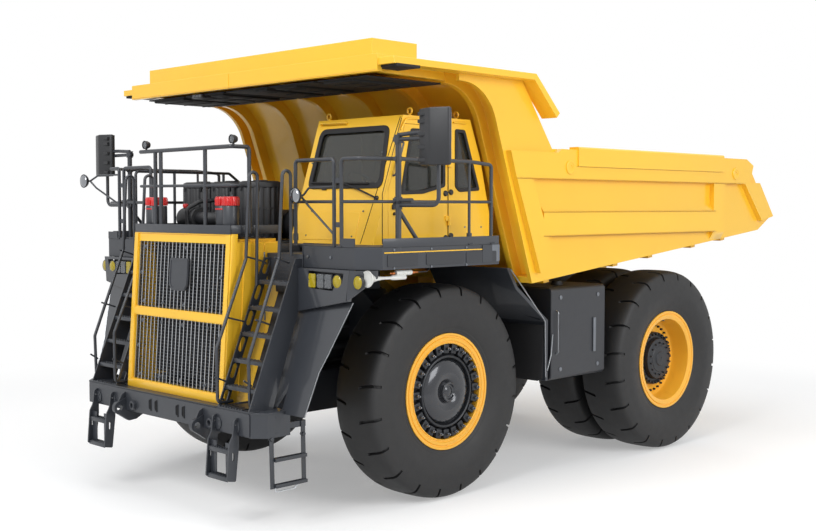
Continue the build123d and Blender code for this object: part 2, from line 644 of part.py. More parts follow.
def mirrors():
    """Mirror posts with their outrigger tubes and the mirror heads."""
    x = DECK_HALF_WIDTH - 30
    y = MIRROR_POST_Y
    arm = bar((x, y, DECK_TOP_Z + SEAT), (x, y, 4450), MIRROR_POST_RADIUS)
    arm += pipe([(x, y, 4406), (MIRROR_REACH_X, y, 4406), (MIRROR_REACH_X, y, 3690), (x, y, 3690)], 24)
    head = block((MIRROR_REACH_X - 235, MIRROR_REACH_X + 215), (y - 110, y - 10), (4100, 4720))
    return both(arm + head)


# ---------------------------------------------------------------- cab
CAB_SIDE = [(-1320, DECK_TOP_Z + SEAT), (-830, CAB_TOP_Z), (350, CAB_TOP_Z), (540, 4260),
            (816, DECK_TOP_Z + SEAT)]
DOOR_EDGE = [(DOOR_FRONT_Y, 3260), (DOOR_FRONT_Y, 3850), (-800, 4640), (DOOR_HINGE_Y, 4640),
             (DOOR_HINGE_Y, 3260)]
DOOR_WINDOW = [(-860, 3815, 50), (-690, 4570, 60), (-125, 4570, 60), (-125, 3910, 60), (-500, 3825, 60)]
REAR_WINDOW = [(88, 3905, 15), (88, 4595, 15), (233, 4592, 15), (499, 3874, 15), (155, 3852, 15)]
SHIELD = [(900, 3900, 80), (2200, 3900, 80), (2100, 4600, 80), (900, 4600, 80)]
BACK_WINDOW = [(1000, 3900, 60), (2100, 3900, 60), (2100, 4400, 60), (1000, 4400, 60)]


def inset(points, amount):
    return offset(outline(points), amount=-amount, kind=Kind.INTERSECTION)


def cab_outer():
    return slab_x(CAB_SIDE, CAB_INNER_X, CAB_OUTER_X)


def cab_inner(wall):
    face = Plane.YZ * inset(CAB_SIDE, wall)
    depth = CAB_OUTER_X - CAB_INNER_X - 2 * wall
    return Pos(CAB_INNER_X + wall, 0, 0) * extrude(face, amount=depth, dir=(1, 0, 0))


def cab_shell():
    shell = cab_outer() - cab_inner(CAB_WALL)
    shell -= slab_x(DOOR_EDGE, CAB_OUTER_X - CAB_WALL - 1, CAB_OUTER_X + 1)
    shell -= slab_x(REAR_WINDOW, CAB_OUTER_X - CAB_WALL - 1, CAB_OUTER_X + 1)
    shell -= slab_x(REAR_WINDOW, CAB_INNER_X - 1, CAB_INNER_X + CAB_WALL + 1)
    shell -= slab_x(DOOR_WINDOW, CAB_INNER_X - 1, CAB_INNER_X + CAB_WALL + 1)
    shell -= slab_y(SHIELD, -1400, -700)
    shell -= slab_y(BACK_WINDOW, 300, 800)
    for z in HINGE_Z:
        shell += hinge_half(z - 60, z - 1, 1)
    return shell


def hinge_half(low, high, side):
    """One knuckle of a door hinge with its leaf, to the rear (side 1) or on the door (side -1)."""
    y = DOOR_HINGE_Y + 10
    leaf = block((CAB_OUTER_X, HINGE_X), sorted((y, y + side * 60)), (low, high))
    return leaf + bar((HINGE_X, y, low), (HINGE_X, y, high), 22)


def cab_glass():
    """Panes set in the middle of the cab's walls."""
    sheet = cab_inner(CAB_WALL / 2 - 6) - cab_inner(CAB_WALL / 2 + 6)
    cuts = []
    for points, low, high in ((REAR_WINDOW, 2200, 2400), (REAR_WINDOW, 700, 900), (DOOR_WINDOW, 700, 900)):
        face = Plane.YZ * inset(points, SEAT)
        cuts.append(Pos(low, 0, 0) * extrude(face, amount=high - low, dir=(1, 0, 0)))
    for points, low, high in ((SHIELD, -1400, -700), (BACK_WINDOW, 300, 800)):
        face = FRONT_PLANE * inset(points, SEAT)
        cuts.append(Pos(0, low, 0) * extrude(face, amount=high - low, dir=(0, 1, 0)))
    return group(*[sheet & cut for cut in cuts])


def cab_door():
    """Door leaf as thick as the wall, hung on its rear edge."""
    edge = Plane.YZ * inset(DOOR_EDGE, 5)
    leaf = Pos(CAB_OUTER_X - CAB_WALL, 0, 0) * extrude(edge, amount=CAB_WALL, dir=(1, 0, 0))
    leaf -= slab_x(DOOR_WINDOW, CAB_OUTER_X - CAB_WALL - 1, CAB_OUTER_X + 1)
    for z in HINGE_Z:
        leaf += hinge_half(z, z + 60, -1)
    return leaf


def door_glass():
    pane = Plane.YZ * inset(DOOR_WINDOW, SEAT)
    middle = CAB_OUTER_X - CAB_WALL / 2
    return Pos(middle - 6, 0, 0) * extrude(pane, amount=12, dir=(1, 0, 0))


def cab_seat():
    x = 1560
    floor = DECK_TOP_Z + SEAT + CAB_WALL + SEAT
    base = block((x - 200, x + 200), (-560, -160), (floor, floor + 320))
    cushion = block((x - 270, x + 270), (-640, -60), (floor + 320, floor + 450))
    back = slab_x([(-170, floor + 450), (-50, floor + 450), (80, floor + 1150), (-20, floor + 1150)],
                  x - 260, x + 260)
    return base + cushion + back


def cab_controls():
    """Dashboard, steering column and wheel."""
    floor = DECK_TOP_Z + SEAT + CAB_WALL + SEAT
    dash = slab_x([(-1200, floor), (-1030, 3830), (-880, 3850), (-880, 3720), (-1000, 3600), (-1000, floor)],
                  900, 2170)
    column = bar((1560, -1000, 3740), (1560, -800, 3930), 35)
    wheel = Plane(origin=(1560, -800, 3930), z_dir=(0, 0.72, 0.69)) * Torus(215, 18)
    spoke = Plane(origin=(1560, -800, 3930), z_dir=(0, 0.72, 0.69)) * Box(430, 40, 14)
    return dash + column + wheel + spoke


# ---------------------------------------------------------------- deck equipment
def air_cleaners():
    low = DECK_TOP_Z + SEAT
    drums = [bar((x, -1200, low), (x, -1200, 4000), 275) for x in (-1240, -580)]
    end = 830 - DECK_HALF_WIDTH
    drums.append(bar((end, -700, 3480), (end + 900, -700, 3480), 279))
    return group(*drums)


def accumulators():
    """Upright canisters on the hood top."""
    low = HOOD_TOP_Z + SEAT
    return group(*[bar((x, -2080, low), (x, -2080, low + 300), 115) for x in (-1180 + 300, -620, 480, 740)])


def accumulator_caps():
    low = HOOD_TOP_Z + 2 * SEAT + 300
    return group(*[bar((x, -2080, low), (x, -2080, low + 70), 95) for x in (-880, -620, 480, 740)])


def lamps():
    """Row of lamps on the beam under the deck's front edge."""
    face = DECK_FRONT_Y + 10 - SEAT
    row = []
    for x in (1700, 1830, 1960, 2090, 2290):
        row.append(block((x - 60, x + 60), (face - 80, face), (2740, 2900)))
    return group(*row, *[flipped(s) for s in row])


def horn():
    z = 2850
    y = -1500
    x = DECK_HALF_WIDTH - 330
    bell = spin_x([(x, 0), (x, 30), (x + 260, 30), (x + 260, 0)], y, z)
    return bell + block((x + 20, x + 80), (y - 20, y + 20), (z, DECK_UNDER_Z - SEAT))


GUARD_Y = 1730                 # front face of the upright flap behind the front wheel
GUARD_PLATE = 50


def mudguards():
    """Guards behind the front wheels: an upright flap and the raked plate up to the deck's rear edge."""
    back = GUARD_Y + GUARD_PLATE
    guard = slab_x([(GUARD_Y, 1310), (back, 1310), (back, 2130), (1140, 2610), (980, 2862), (920, 2862),
                    (1098, 2579), (GUARD_Y, 2105)], 1000, 2430)
    stay = block((RAIL_OUTER_X, 1000), (GUARD_Y - 30, back), (1600, 1900))
    return both(guard + stay)


TANK_END_Y = WHEELBASE - TYRE_RADIUS - 155
TANK_OUTER_X = 2430
TANK_PLAN = [(RAIL_OUTER_X, 1850), (TANK_OUTER_X, 1850), (TANK_OUTER_X, TANK_END_Y), (1020, TANK_END_Y),
             (1020, TANK_END_Y - 580), (RAIL_OUTER_X, TANK_END_Y - 580)]


def fuel_tank():
    tank = slab_z(TANK_PLAN, 1300, 2560)
    return chamfer(tank.edges().filter_by(Axis.Y).group_by(Axis.X)[-1], 40)


def hydraulic_tank():
    return flipped(fuel_tank())


# ---------------------------------------------------------------- dump bed
WALL_LINE = [FLOOR_FRONT, (309, 5150), (CANOPY_FRONT_Y, CANOPY_Z)]


def wall_band(near, far):
    """Band between two offsets of the front wall's line, from the floor to the canopy's lip."""
    (y0, z0), (y1, z1), (y2, z2) = WALL_LINE
    up = (Vector(y1 - y0, z1 - z0)).normalized()
    ahead = (Vector(y2 - y1, z2 - z1)).normalized()
    across_up = Vector(up.Y, -up.X)
    across_ahead = Vector(ahead.Y, -ahead.X)
    turn = math.radians(up.get_angle(ahead))
    corner = (across_up + across_ahead).normalized() / math.cos(turn / 2)

    def row(distance):
        return [Vector(y0, z0) + across_up * distance, Vector(y1, z1) + corner * distance,
                Vector(y2, z2) + across_ahead * distance]

    low = row(near)
    high = row(far)
    bend = CANOPY_BEND
    return [(low[0].X, low[0].Y), (low[1].X, low[1].Y, bend + near), (low[2].X, low[2].Y),
            (high[2].X, high[2].Y), (high[1].X, high[1].Y, bend + far), (high[0].X, high[0].Y)]


CANOPY_BACK_Y = -160           # joint between the curved front wall and the flat canopy
RIB_FROM_SIDE = 260            # ends of the bed's ribs, short of the inner face of its sides
BOARD_FROM_SIDE = 240
FAR = 8000                     # reach of a cutter past the truck


def wall_ribs():
    """Middles of the front wall's six ribs, evenly spaced."""
    outer = BED_INNER_X - RIB_FROM_SIDE
    return [outer * share / 5 for share in (-5, -3, -1, 1, 3, 5)]


def bed_front_wall():
    """Curved front wall with upright ribs on the cab side."""
    wall = slab_x(wall_band(WALL_RIB, WALL_RIB + WALL_SKIN), -BED_INNER_X, BED_INNER_X)
    for x in wall_ribs():
        wall += slab_x(wall_band(0, WALL_RIB), x - 45, x + 45)
    wall -= block((-FAR, FAR), (-FAR, CANOPY_BACK_Y), (PIVOT_Z, FAR))
    under = [(y, floor_under(y) + FLOOR_THICKNESS + SEAT) for y in (-FAR, FAR)]
    return wall - slab_x(under + [(FAR, -FAR), (-FAR, -FAR)], -FAR, FAR)


def bed_canopy():
    """Flat canopy with ribs below, side flanges and the raised front board."""
    face = CANOPY_BACK_Y - SEAT
    roof = slab_x(wall_band(WALL_RIB, WALL_RIB + WALL_SKIN), -BED_INNER_X, BED_INNER_X)
    for x in wall_ribs():
        roof += slab_x(wall_band(30, WALL_RIB), x - 40, x + 40)
    roof -= block((-FAR, FAR), (face, FAR), (0, FAR))
    flange = slab_x([(CANOPY_FRONT_Y, FLANGE_Z), (1000, FLANGE_Z), (1455, 4795), (1520, 4860), (1035, 5330),
                     (CANOPY_FRONT_Y, 5330)], BED_INNER_X, CANOPY_HALF_WIDTH)
    lip = block((-BED_INNER_X, BED_INNER_X), (CANOPY_FRONT_Y - 20, CANOPY_FRONT_Y + 60), (CANOPY_Z, 5380))
    half = BED_INNER_X - BOARD_FROM_SIDE
    board = block((-half, half), (CANOPY_FRONT_Y + 126, -618), (5340, 5590))
    board -= block((60 - half, half - 60), (CANOPY_FRONT_Y + 186, -600), (5339, 5530))
    return roof + flange + flipped(flange) + lip + board


POST_TOP_Z = BAND_LOW_Z + 20
FRONT_POST = [(785, POST_TOP_Z), (1105, POST_TOP_Z), (1560, 2985), (1280, 2790)]
TAIL_POST = [(6470, POST_TOP_Z), (6970, POST_TOP_Z), (7430, 3492), (7050, 3420)]
REAR_POST = (5540, 5870)       # stretches along Y
BELT = (1340, 5600)
CAPPING = (2050, 5800)
CAPPING_LOW_Z = 4190


def bed_side():
    """Left side wall with its top band, capping, belt and posts, and the wing up to the canopy."""
    top = FLANGE_Z - SEAT
    skin = SIDE_SKIN_X
    edge = BED_HALF_WIDTH
    tail_y, _ = TAIL_TOP
    bend_y, bend_z = WALL_LINE[1]
    side = slab_x([FLOOR_FRONT, (bend_y + 20, bend_z, CANOPY_BEND), (-200, CANOPY_Z - 10), (-200, top), (990, top),
                   (1600, SIDE_TOP_Z), (tail_y - 220, SIDE_TOP_Z), TAIL_TOP, TAIL_TIP, FLOOR_REAR],
                  BED_INNER_X, skin)
    side += slab_x([(790, BAND_LOW_Z), (672, SIDE_TOP_Z - 50), (1640, SIDE_TOP_Z - 50), (1700, SIDE_TOP_Z),
                    (tail_y - 220, SIDE_TOP_Z), TAIL_TOP, (tail_y - 110, BAND_LOW_Z)], skin, edge)
    side += slab_y([(BED_INNER_X, SIDE_TOP_Z - 1), (BED_INNER_X, SIDE_TOP_Z + 40), (edge, SIDE_TOP_Z + 40),
                    (edge + 22, SIDE_TOP_Z + 20), (edge + 22, CAPPING_LOW_Z), (edge - 1, CAPPING_LOW_Z)],
                   *CAPPING)
    side += slab_y([(skin, BELT_TOP_Z + 100), (edge, BELT_TOP_Z), (edge, BELT_LOW_Z), (skin, BELT_LOW_Z)], *BELT)
    side += slab_y([(skin, BAND_LOW_Z + 5), (edge, BAND_LOW_Z + 5), (edge, BELT_LOW_Z), (skin, BELT_LOW_Z - 130)],
                   *REAR_POST)
    for post in (FRONT_POST, TAIL_POST):
        side += slab_x(post, skin, edge)
    return side


def bed_floor():
    """Load floor that rises to the tail."""
    t = FLOOR_THICKNESS
    low = [FLOOR_FRONT, FLOOR_REAR, TAIL_TIP]
    high = [(y, z + t) for y, z in reversed(low)]
    high[-1] = (FLOOR_FRONT[0] - 32, floor_under(FLOOR_FRONT[0] - 32) + t)
    return slab_x(low + high, -BED_INNER_X + SEAT, BED_INNER_X - SEAT)


def floor_under(y):
    """Height of the floor's underside."""
    return FLOOR_FRONT[1] + (y - FLOOR_FRONT[0]) * (FLOOR_REAR[1] - FLOOR_FRONT[1]) / (FLOOR_REAR[0] - FLOOR_FRONT[0])


def under_floor(y_low, y_high, depth, x_low, x_high):
    """Plate or rib seated along the floor's underside."""
    top = [(y, floor_under(y) - SEAT) for y in (y_low, y_high)]
    return slab_x(top + [(y, z - depth) for y, z in reversed(top)], x_low, x_high)


RIB_PLACES = (1900, 3500, 4400, 5600, 6500)


def bed_underframe():
    """Beams that lie along the rails with the pivot ears and hoist brackets, and cross ribs between them."""
    gap = 30
    x0 = RAIL_OUTER_X - RAIL_WIDTH
    end = PIVOT_Y + 100
    beam = slab_x([(1750, rail_top(1750) + gap), (end, rail_top(end) + gap), (end, floor_under(end) - SEAT),
                   (1400, floor_under(1400) - SEAT), (1400, floor_under(1400) - 120)], x0, RAIL_OUTER_X)
    for y in (1900, 3000):
        beam += slab_x([(y, rail_top(y) + SEAT), (y + 300, rail_top(y + 300) + SEAT),
                        (y + 300, rail_top(y + 300) + 2 * gap), (y, rail_top(y) + 2 * gap)],
                       x0 + 20, RAIL_OUTER_X - 20)
    ear_top = rail_top(PIVOT_Y) + 130
    ear = slab_x([(PIVOT_Y - 420, ear_top), (PIVOT_Y - 130, PIVOT_Z - 130, 125),
                  (PIVOT_Y + 130, PIVOT_Z - 130, 125), (PIVOT_Y + 130, ear_top)],
                 RAIL_OUTER_X + 8, RAIL_OUTER_X + 55)
    ear += Pos(-RAIL_WIDTH - 63, 0, 0) * ear
    ear -= bar((0, PIVOT_Y, PIVOT_Z), (1000, PIVOT_Y, PIVOT_Z), PIVOT_PIN_RADIUS + RUNNING)
    ear += slab_x([(PIVOT_Y - 420, ear_top), (PIVOT_Y + 130, ear_top),
                   (PIVOT_Y + 130, floor_under(PIVOT_Y + 130) - SEAT),
                   (PIVOT_Y - 420, floor_under(PIVOT_Y - 420) - SEAT)], x0 - 55, RAIL_OUTER_X + 55)
    y, z = HOIST_TOP
    lug = slab_x([(y - 240, floor_under(y - 240) - 60), (y - 90, z - 90, 80), (y + 90, z - 90, 80),
                  (y + 240, floor_under(y + 240) - 60)], HOIST_X - 110, HOIST_X - 70)
    bracket = lug + Pos(180, 0, 0) * lug + under_floor(y - 300, y + 300, 70, RAIL_OUTER_X - 20, 1000)
    side = beam + ear + bracket
    pieces = [side, flipped(side)]
    reach = BED_INNER_X - RIB_FROM_SIDE
    for y in RIB_PLACES:
        if y > end:
            pieces.append(under_floor(y - 60, y + 60, 110, -reach, reach))
            continue
        pieces.append(under_floor(y - 60, y + 60, 110, SEAT - x0, x0 - SEAT))
        outer = under_floor(y - 60, y + 60, 110, RAIL_OUTER_X + SEAT, reach)
        pieces += [outer, flipped(outer)]
    return group(*pieces)


# ---------------------------------------------------------------- hoists
def along_hoist():
    (y0, z0), (y1, z1) = HOIST_LOW, HOIST_TOP
    line = Vector(0, y1 - y0, z1 - z0)
    return line.normalized(), line.length


def hoist_tube(low, high, outer, inner):
    """Tube round the hoist's line between two distances from the lower pin."""
    line, _ = along_hoist()
    foot = Vector(HOIST_X, *HOIST_LOW)
    tube = bar(foot + line * low, foot + line * high, outer)
    if inner:
        tube -= bar(foot + line * (low - 1), foot + line * (high + 1), inner)
    return tube


def hoist_barrel():
    eye = bar((HOIST_X - 80, *HOIST_LOW), (HOIST_X + 80, *HOIST_LOW), 100)
    bore = bar((HOIST_X - 90, *HOIST_LOW), (HOIST_X + 90, *HOIST_LOW), 50 + RUNNING)
    return hoist_tube(130, 1240, 118, 92 + RUNNING) + (hoist_tube(70, 140, 118, 0) + eye - bore)


def hoist_sleeve():
    return hoist_tube(150, 1255, 92, 66 + RUNNING)


def hoist_rod():
    _, length = along_hoist()
    eye = bar((HOIST_X - 62, *HOIST_TOP), (HOIST_X + 62, *HOIST_TOP), 85)
    return hoist_tube(160, length, 66, 0) + eye


# ---------------------------------------------------------------- the pieces
NODES = {
    "frame": frame,
    "front_collar": front_collar,
    "front_bumper": front_bumper,
    "tow_eyes": tow_eyes,
    "boarding_steps": boarding_steps,
    "boarding_ladders": boarding_ladders,
    "hood": hood,
    "radiator_grille": grille,
    "radiator": radiator,
    "engine": engine,
    "driveline": driveline,
    "deck": deck,
    "deck_supports": deck_supports,
    "handrails": handrails,
    "mirrors": mirrors,
    "cab_shell": cab_shell,
    "cab_glass": cab_glass,
    "cab_seat": cab_seat,
    "cab_controls": cab_controls,
    "cab_door": cab_door,
    "door_glass": door_glass,
    "air_cleaners": air_cleaners,
    "accumulators": accumulators,
    "accumulator_caps": accumulator_caps,
    "lamps": lamps,
    "horn": horn,
    "mudguards": mudguards,
    "fuel_tank": fuel_tank,
    "hydraulic_tank": hydraulic_tank,
    "front_struts": strut_barrels,
    "rear_axle": rear_axle,
    "rear_suspension": rear_suspension,
    "knuckle_left": knuckle,
    "knuckle_right": lambda: flipped(knuckle()),
    "tie_rod": tie_rod,
    "tyre_front_left": lambda: tyre(FRONT_WHEEL_X),
    "tyre_front_right": lambda: flipped(tyre(FRONT_WHEEL_X)),
    "rim_front_left": lambda: rim_shell(FRONT_WHEEL_X),
    "rim_front_right": lambda: flipped(rim_shell(FRONT_WHEEL_X)),
    "hub_front_left": front_hub,
    "hub_front_right": lambda: flipped(front_hub()),
    "tyres_rear_left": rear_tyres,
    "tyres_rear_right": lambda: flipped(rear_tyres()),
    "rims_rear_left": rear_rims,
    "rims_rear_right": lambda: flipped(rear_rims()),
    "final_drive_left": final_drive,
    "final_drive_right": lambda: flipped(final_drive()),
    "bed_floor": bed_floor,
    "bed_side_left": bed_side,
    "bed_side_right": lambda: flipped(bed_side()),
    "bed_front_wall": bed_front_wall,
    "bed_canopy": bed_canopy,
    "bed_underframe": bed_underframe,
    "hoist_barrel_left": hoist_barrel,
    "hoist_barrel_right": lambda: flipped(hoist_barrel()),
    "hoist_sleeve_left": hoist_sleeve,
    "hoist_sleeve_right": lambda: flipped(hoist_sleeve()),
    "hoist_rod_left": hoist_rod,
    "hoist_rod_right": lambda: flipped(hoist_rod()),
}


os.makedirs("parts", exist_ok=True)
for name, make in NODES.items():
    export_step(Pos(0, FRONT_AXLE_Y, 0) * make(), f"parts/{name}.step")
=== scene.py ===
import json
import math

import bmesh
import bpy
from bpy.props import FloatProperty, FloatVectorProperty, IntProperty, PointerProperty
from bpy.types import Operator, Panel, PropertyGroup
from mathutils import Matrix, Vector

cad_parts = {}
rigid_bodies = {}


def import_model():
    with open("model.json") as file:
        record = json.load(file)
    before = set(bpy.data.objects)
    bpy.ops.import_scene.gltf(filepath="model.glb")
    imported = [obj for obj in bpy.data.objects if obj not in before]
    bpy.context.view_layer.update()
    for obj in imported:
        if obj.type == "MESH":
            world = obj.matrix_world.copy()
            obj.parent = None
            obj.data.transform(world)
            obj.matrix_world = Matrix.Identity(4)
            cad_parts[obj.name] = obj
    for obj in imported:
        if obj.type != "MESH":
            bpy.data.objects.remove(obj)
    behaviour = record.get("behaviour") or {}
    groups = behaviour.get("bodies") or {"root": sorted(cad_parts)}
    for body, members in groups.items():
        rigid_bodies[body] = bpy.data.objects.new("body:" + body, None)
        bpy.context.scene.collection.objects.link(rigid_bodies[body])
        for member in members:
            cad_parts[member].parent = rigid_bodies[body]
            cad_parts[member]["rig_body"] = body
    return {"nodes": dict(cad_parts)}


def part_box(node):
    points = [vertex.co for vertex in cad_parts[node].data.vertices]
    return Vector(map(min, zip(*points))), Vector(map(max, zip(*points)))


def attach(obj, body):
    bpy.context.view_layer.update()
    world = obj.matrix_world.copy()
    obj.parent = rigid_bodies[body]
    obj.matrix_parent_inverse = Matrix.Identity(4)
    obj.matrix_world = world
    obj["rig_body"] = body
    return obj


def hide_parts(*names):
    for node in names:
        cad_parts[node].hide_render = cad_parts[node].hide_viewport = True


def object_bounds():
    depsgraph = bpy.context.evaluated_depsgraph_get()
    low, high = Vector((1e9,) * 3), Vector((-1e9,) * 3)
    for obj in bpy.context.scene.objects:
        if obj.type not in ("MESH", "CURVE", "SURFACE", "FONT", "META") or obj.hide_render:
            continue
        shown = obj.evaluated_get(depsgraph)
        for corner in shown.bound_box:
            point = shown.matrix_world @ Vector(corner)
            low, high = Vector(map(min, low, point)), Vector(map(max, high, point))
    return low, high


bl_info = {
    "name": "Mining dump truck looks",
    "version": (1, 0, 0),
    "blender": (4, 5, 0),
    "location": "3D View > Sidebar > Truck",
    "description": "Dresses the packed dump truck with finishes, tyres, hubs, cab and bed details",
    "category": "Object",
}

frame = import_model()
CAD_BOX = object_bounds()


# ---------------------------------------------------------------- places from the frame
def middle(node):
    low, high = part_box(node)
    return (low + high) / 2


FRONT_AXLE = middle("tyre_front_left")
REAR_AXLE = middle("tyres_rear_left")
TYRE_RADIUS = FRONT_AXLE.z
TYRE_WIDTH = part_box("tyre_front_left")[1].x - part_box("tyre_front_left")[0].x
FRONT_WHEEL_X = FRONT_AXLE.x
REAR_OUTER_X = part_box("tyres_rear_left")[1].x - TYRE_WIDTH / 2
REAR_INNER_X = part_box("tyres_rear_left")[0].x + TYRE_WIDTH / 2
DECK_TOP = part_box("deck")[1].z
HOOD_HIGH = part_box("hood")[1]
BUMPER_LOW, BUMPER_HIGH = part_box("front_bumper")
SIDES = (("left", 1), ("right", -1))


def span(sign, one, two):
    """Two places across the truck on the side of the sign, the lower one first."""
    return sorted((sign * one, sign * two))


def at(x, y, z):
    """Point measured from the ground under the front axle."""
    return Vector((x, y + FRONT_AXLE.y, z))


def linear(red, green, blue):
    """Screen colour from 0 to 255 as the linear values that shaders use."""
    return tuple(c / 3294.6 if c <= 10.31 else ((c / 255 + 0.055) / 1.055) ** 2.4
                 for c in (red, green, blue))


# ---------------------------------------------------------------- sizes and colours a user may change
def colour(name, description, default):
    return FloatVectorProperty(name=name, description=description, default=default, size=3, min=0, max=1,
                               subtype="COLOR")


def length(name, description, default):
    return FloatProperty(name=name, description=description, default=default, min=0, unit="LENGTH",
                         subtype="DISTANCE")


def count(name, description, default):
    return IntProperty(name=name, description=description, default=default, min=1)


class TruckColours(PropertyGroup):
    body: colour("Body paint", "Paint of the hood, cab and dump bed", linear(252, 197, 46))
    chassis: colour("Chassis paint", "Paint of the frame, deck, ladders and rails", linear(47, 50, 56))
    rims: colour("Rim paint", "Paint of the wheel rims", linear(250, 184, 52))
    rubber: colour("Rubber", "Tyres, flaps and seals", linear(29, 29, 30))
    caps: colour("Caps", "Caps of the gas canisters", linear(206, 26, 24))


class TruckTyres(PropertyGroup):
    pitches: count("Lugs", "Tread lugs round each shoulder", 20)
    groove_depth: length("Groove depth", "Depth of the grooves between lugs", 0.045)


class TruckGrille(PropertyGroup):
    bars: count("Upright bars", "Flat upright bars across the opening", 24)
    gap: length("Cross wire gap", "Height between the thin cross wires", 0.04)


class TruckLadders(PropertyGroup):
    treads: count("Treads", "Treads of each slanting ladder", 5)
    tube: length("Hand tube radius", "Radius of the hand tubes", 0.02)


class TruckHubs(PropertyGroup):
    clamps: count("Rim clamps", "Wedge clamps round each front hub", 24)
    bolts: count("Final drive bolts", "Bolts round each rear hub cover", 28)


class TruckStage(PropertyGroup):
    lens: FloatProperty(name="Lens", description="Focal length of the camera", default=51.39, unit="CAMERA")
    key: FloatProperty(name="Key light", description="Power of the large front lamp", default=1130, min=0)
    sky: FloatProperty(name="Sky light", description="Strength of the even light from all round",
                       default=0.4, min=0)


class TruckLooks(PropertyGroup):
    colours: PointerProperty(type=TruckColours)
    tyres: PointerProperty(type=TruckTyres)
    grille: PointerProperty(type=TruckGrille)
    ladders: PointerProperty(type=TruckLadders)
    hubs: PointerProperty(type=TruckHubs)
    stage: PointerProperty(type=TruckStage)


def looks():
    return bpy.context.scene.truck_looks


# ---------------------------------------------------------------- node tree helpers
def add(tree, kind, inputs=None, **settings):
    """New node with its settings, its input values and its incoming links."""
    made = tree.nodes.new(kind)
    for key, value in settings.items():
        setattr(made, key, value)
    for key, value in (inputs or {}).items():
        if isinstance(value, bpy.types.NodeSocket):
            tree.links.new(value, made.inputs[key])
        else:
            made.inputs[key].default_value = value
    return made


def group_tree(name, kind, inputs, outputs):
    """Empty node group with its sockets, and its input and output nodes."""
    tree = bpy.data.node_groups.new(name, kind)
    for label, socket, default in inputs:
        made = tree.interface.new_socket(name=label, in_out="INPUT", socket_type=socket)
        if default is not None:
            made.default_value = default
    for label, socket in outputs:
        tree.interface.new_socket(name=label, in_out="OUTPUT", socket_type=socket)
    return tree, tree.nodes.new("NodeGroupInput"), tree.nodes.new("NodeGroupOutput")


# ---------------------------------------------------------------- shared surface effects
def skin_group():
    """Uneven tone, uneven gloss and a fine bump, for paint, rubber and plastics."""
    tree, given, out = group_tree("Surface skin", "ShaderNodeTree", [
        ("Color", "NodeSocketColor", (0.5, 0.5, 0.5, 1)), ("Tone", "NodeSocketFloat", 0.1),
        ("Gloss", "NodeSocketFloat", 0.4), ("Gloss range", "NodeSocketFloat", 0.1),
        ("Grain scale", "NodeSocketFloat", 300), ("Grain height", "NodeSocketFloat", 0.0002),
    ], [("Color", "NodeSocketColor"), ("Roughness", "NodeSocketFloat"), ("Normal", "NodeSocketVector")])
    place = add(tree, "ShaderNodeTexCoord").outputs["Object"]
    broad = add(tree, "ShaderNodeTexNoise", {"Vector": place, "Scale": 1.4, "Detail": 5, "Roughness": 0.6})
    fine = add(tree, "ShaderNodeTexNoise", {"Vector": place, "Scale": 9, "Detail": 6, "Roughness": 0.65})
    grain = add(tree, "ShaderNodeTexNoise", {"Vector": place, "Scale": given.outputs["Grain scale"],
                                             "Detail": 2})
    centred = add(tree, "ShaderNodeMath", {0: broad.outputs["Fac"], 1: 0.5}, operation="SUBTRACT")
    swing = add(tree, "ShaderNodeMath", {0: centred.outputs[0], 1: given.outputs["Tone"]},
                operation="MULTIPLY")
    level = add(tree, "ShaderNodeMath", {0: swing.outputs[0], 1: 1.0}, operation="ADD")
    toned = add(tree, "ShaderNodeHueSaturation",
                {"Value": level.outputs[0], "Color": given.outputs["Color"]})
    rough_swing = add(tree, "ShaderNodeMath", {0: fine.outputs["Fac"], 1: given.outputs["Gloss range"]},
                      operation="MULTIPLY")
    rough = add(tree, "ShaderNodeMath", {0: rough_swing.outputs[0], 1: given.outputs["Gloss"]},
                operation="ADD")
    bump = add(tree, "ShaderNodeBump", {"Strength": 0.6, "Distance": given.outputs["Grain height"],
                                        "Height": grain.outputs["Fac"]})
    tree.links.new(toned.outputs[0], out.inputs["Color"])
    tree.links.new(rough.outputs[0], out.inputs["Roughness"])
    tree.links.new(bump.outputs[0], out.inputs["Normal"])
    return tree


def brushed_group():
    """Fine scratches along one direction, for bare steel."""
    tree, given, out = group_tree("Brushed grain", "ShaderNodeTree", [
        ("Stretch", "NodeSocketVector", (8, 8, 160)), ("Height", "NodeSocketFloat", 0.0002),
    ], [("Roughness", "NodeSocketFloat"), ("Normal", "NodeSocketVector")])
    place = add(tree, "ShaderNodeTexCoord").outputs["Object"]
    spread = add(tree, "ShaderNodeVectorMath", {0: place, 1: given.outputs["Stretch"]}, operation="MULTIPLY")
    lines = add(tree, "ShaderNodeTexNoise", {"Vector": spread.outputs[0], "Scale": 3, "Detail": 4})
    rough = add(tree, "ShaderNodeMapRange", {"Value": lines.outputs["Fac"], "To Min": 0.22, "To Max": 0.42})
    bump = add(tree, "ShaderNodeBump", {"Strength": 0.5, "Distance": given.outputs["Height"],
                                        "Height": lines.outputs["Fac"]})
    tree.links.new(rough.outputs[0], out.inputs["Roughness"])
    tree.links.new(bump.outputs[0], out.inputs["Normal"])
    return tree


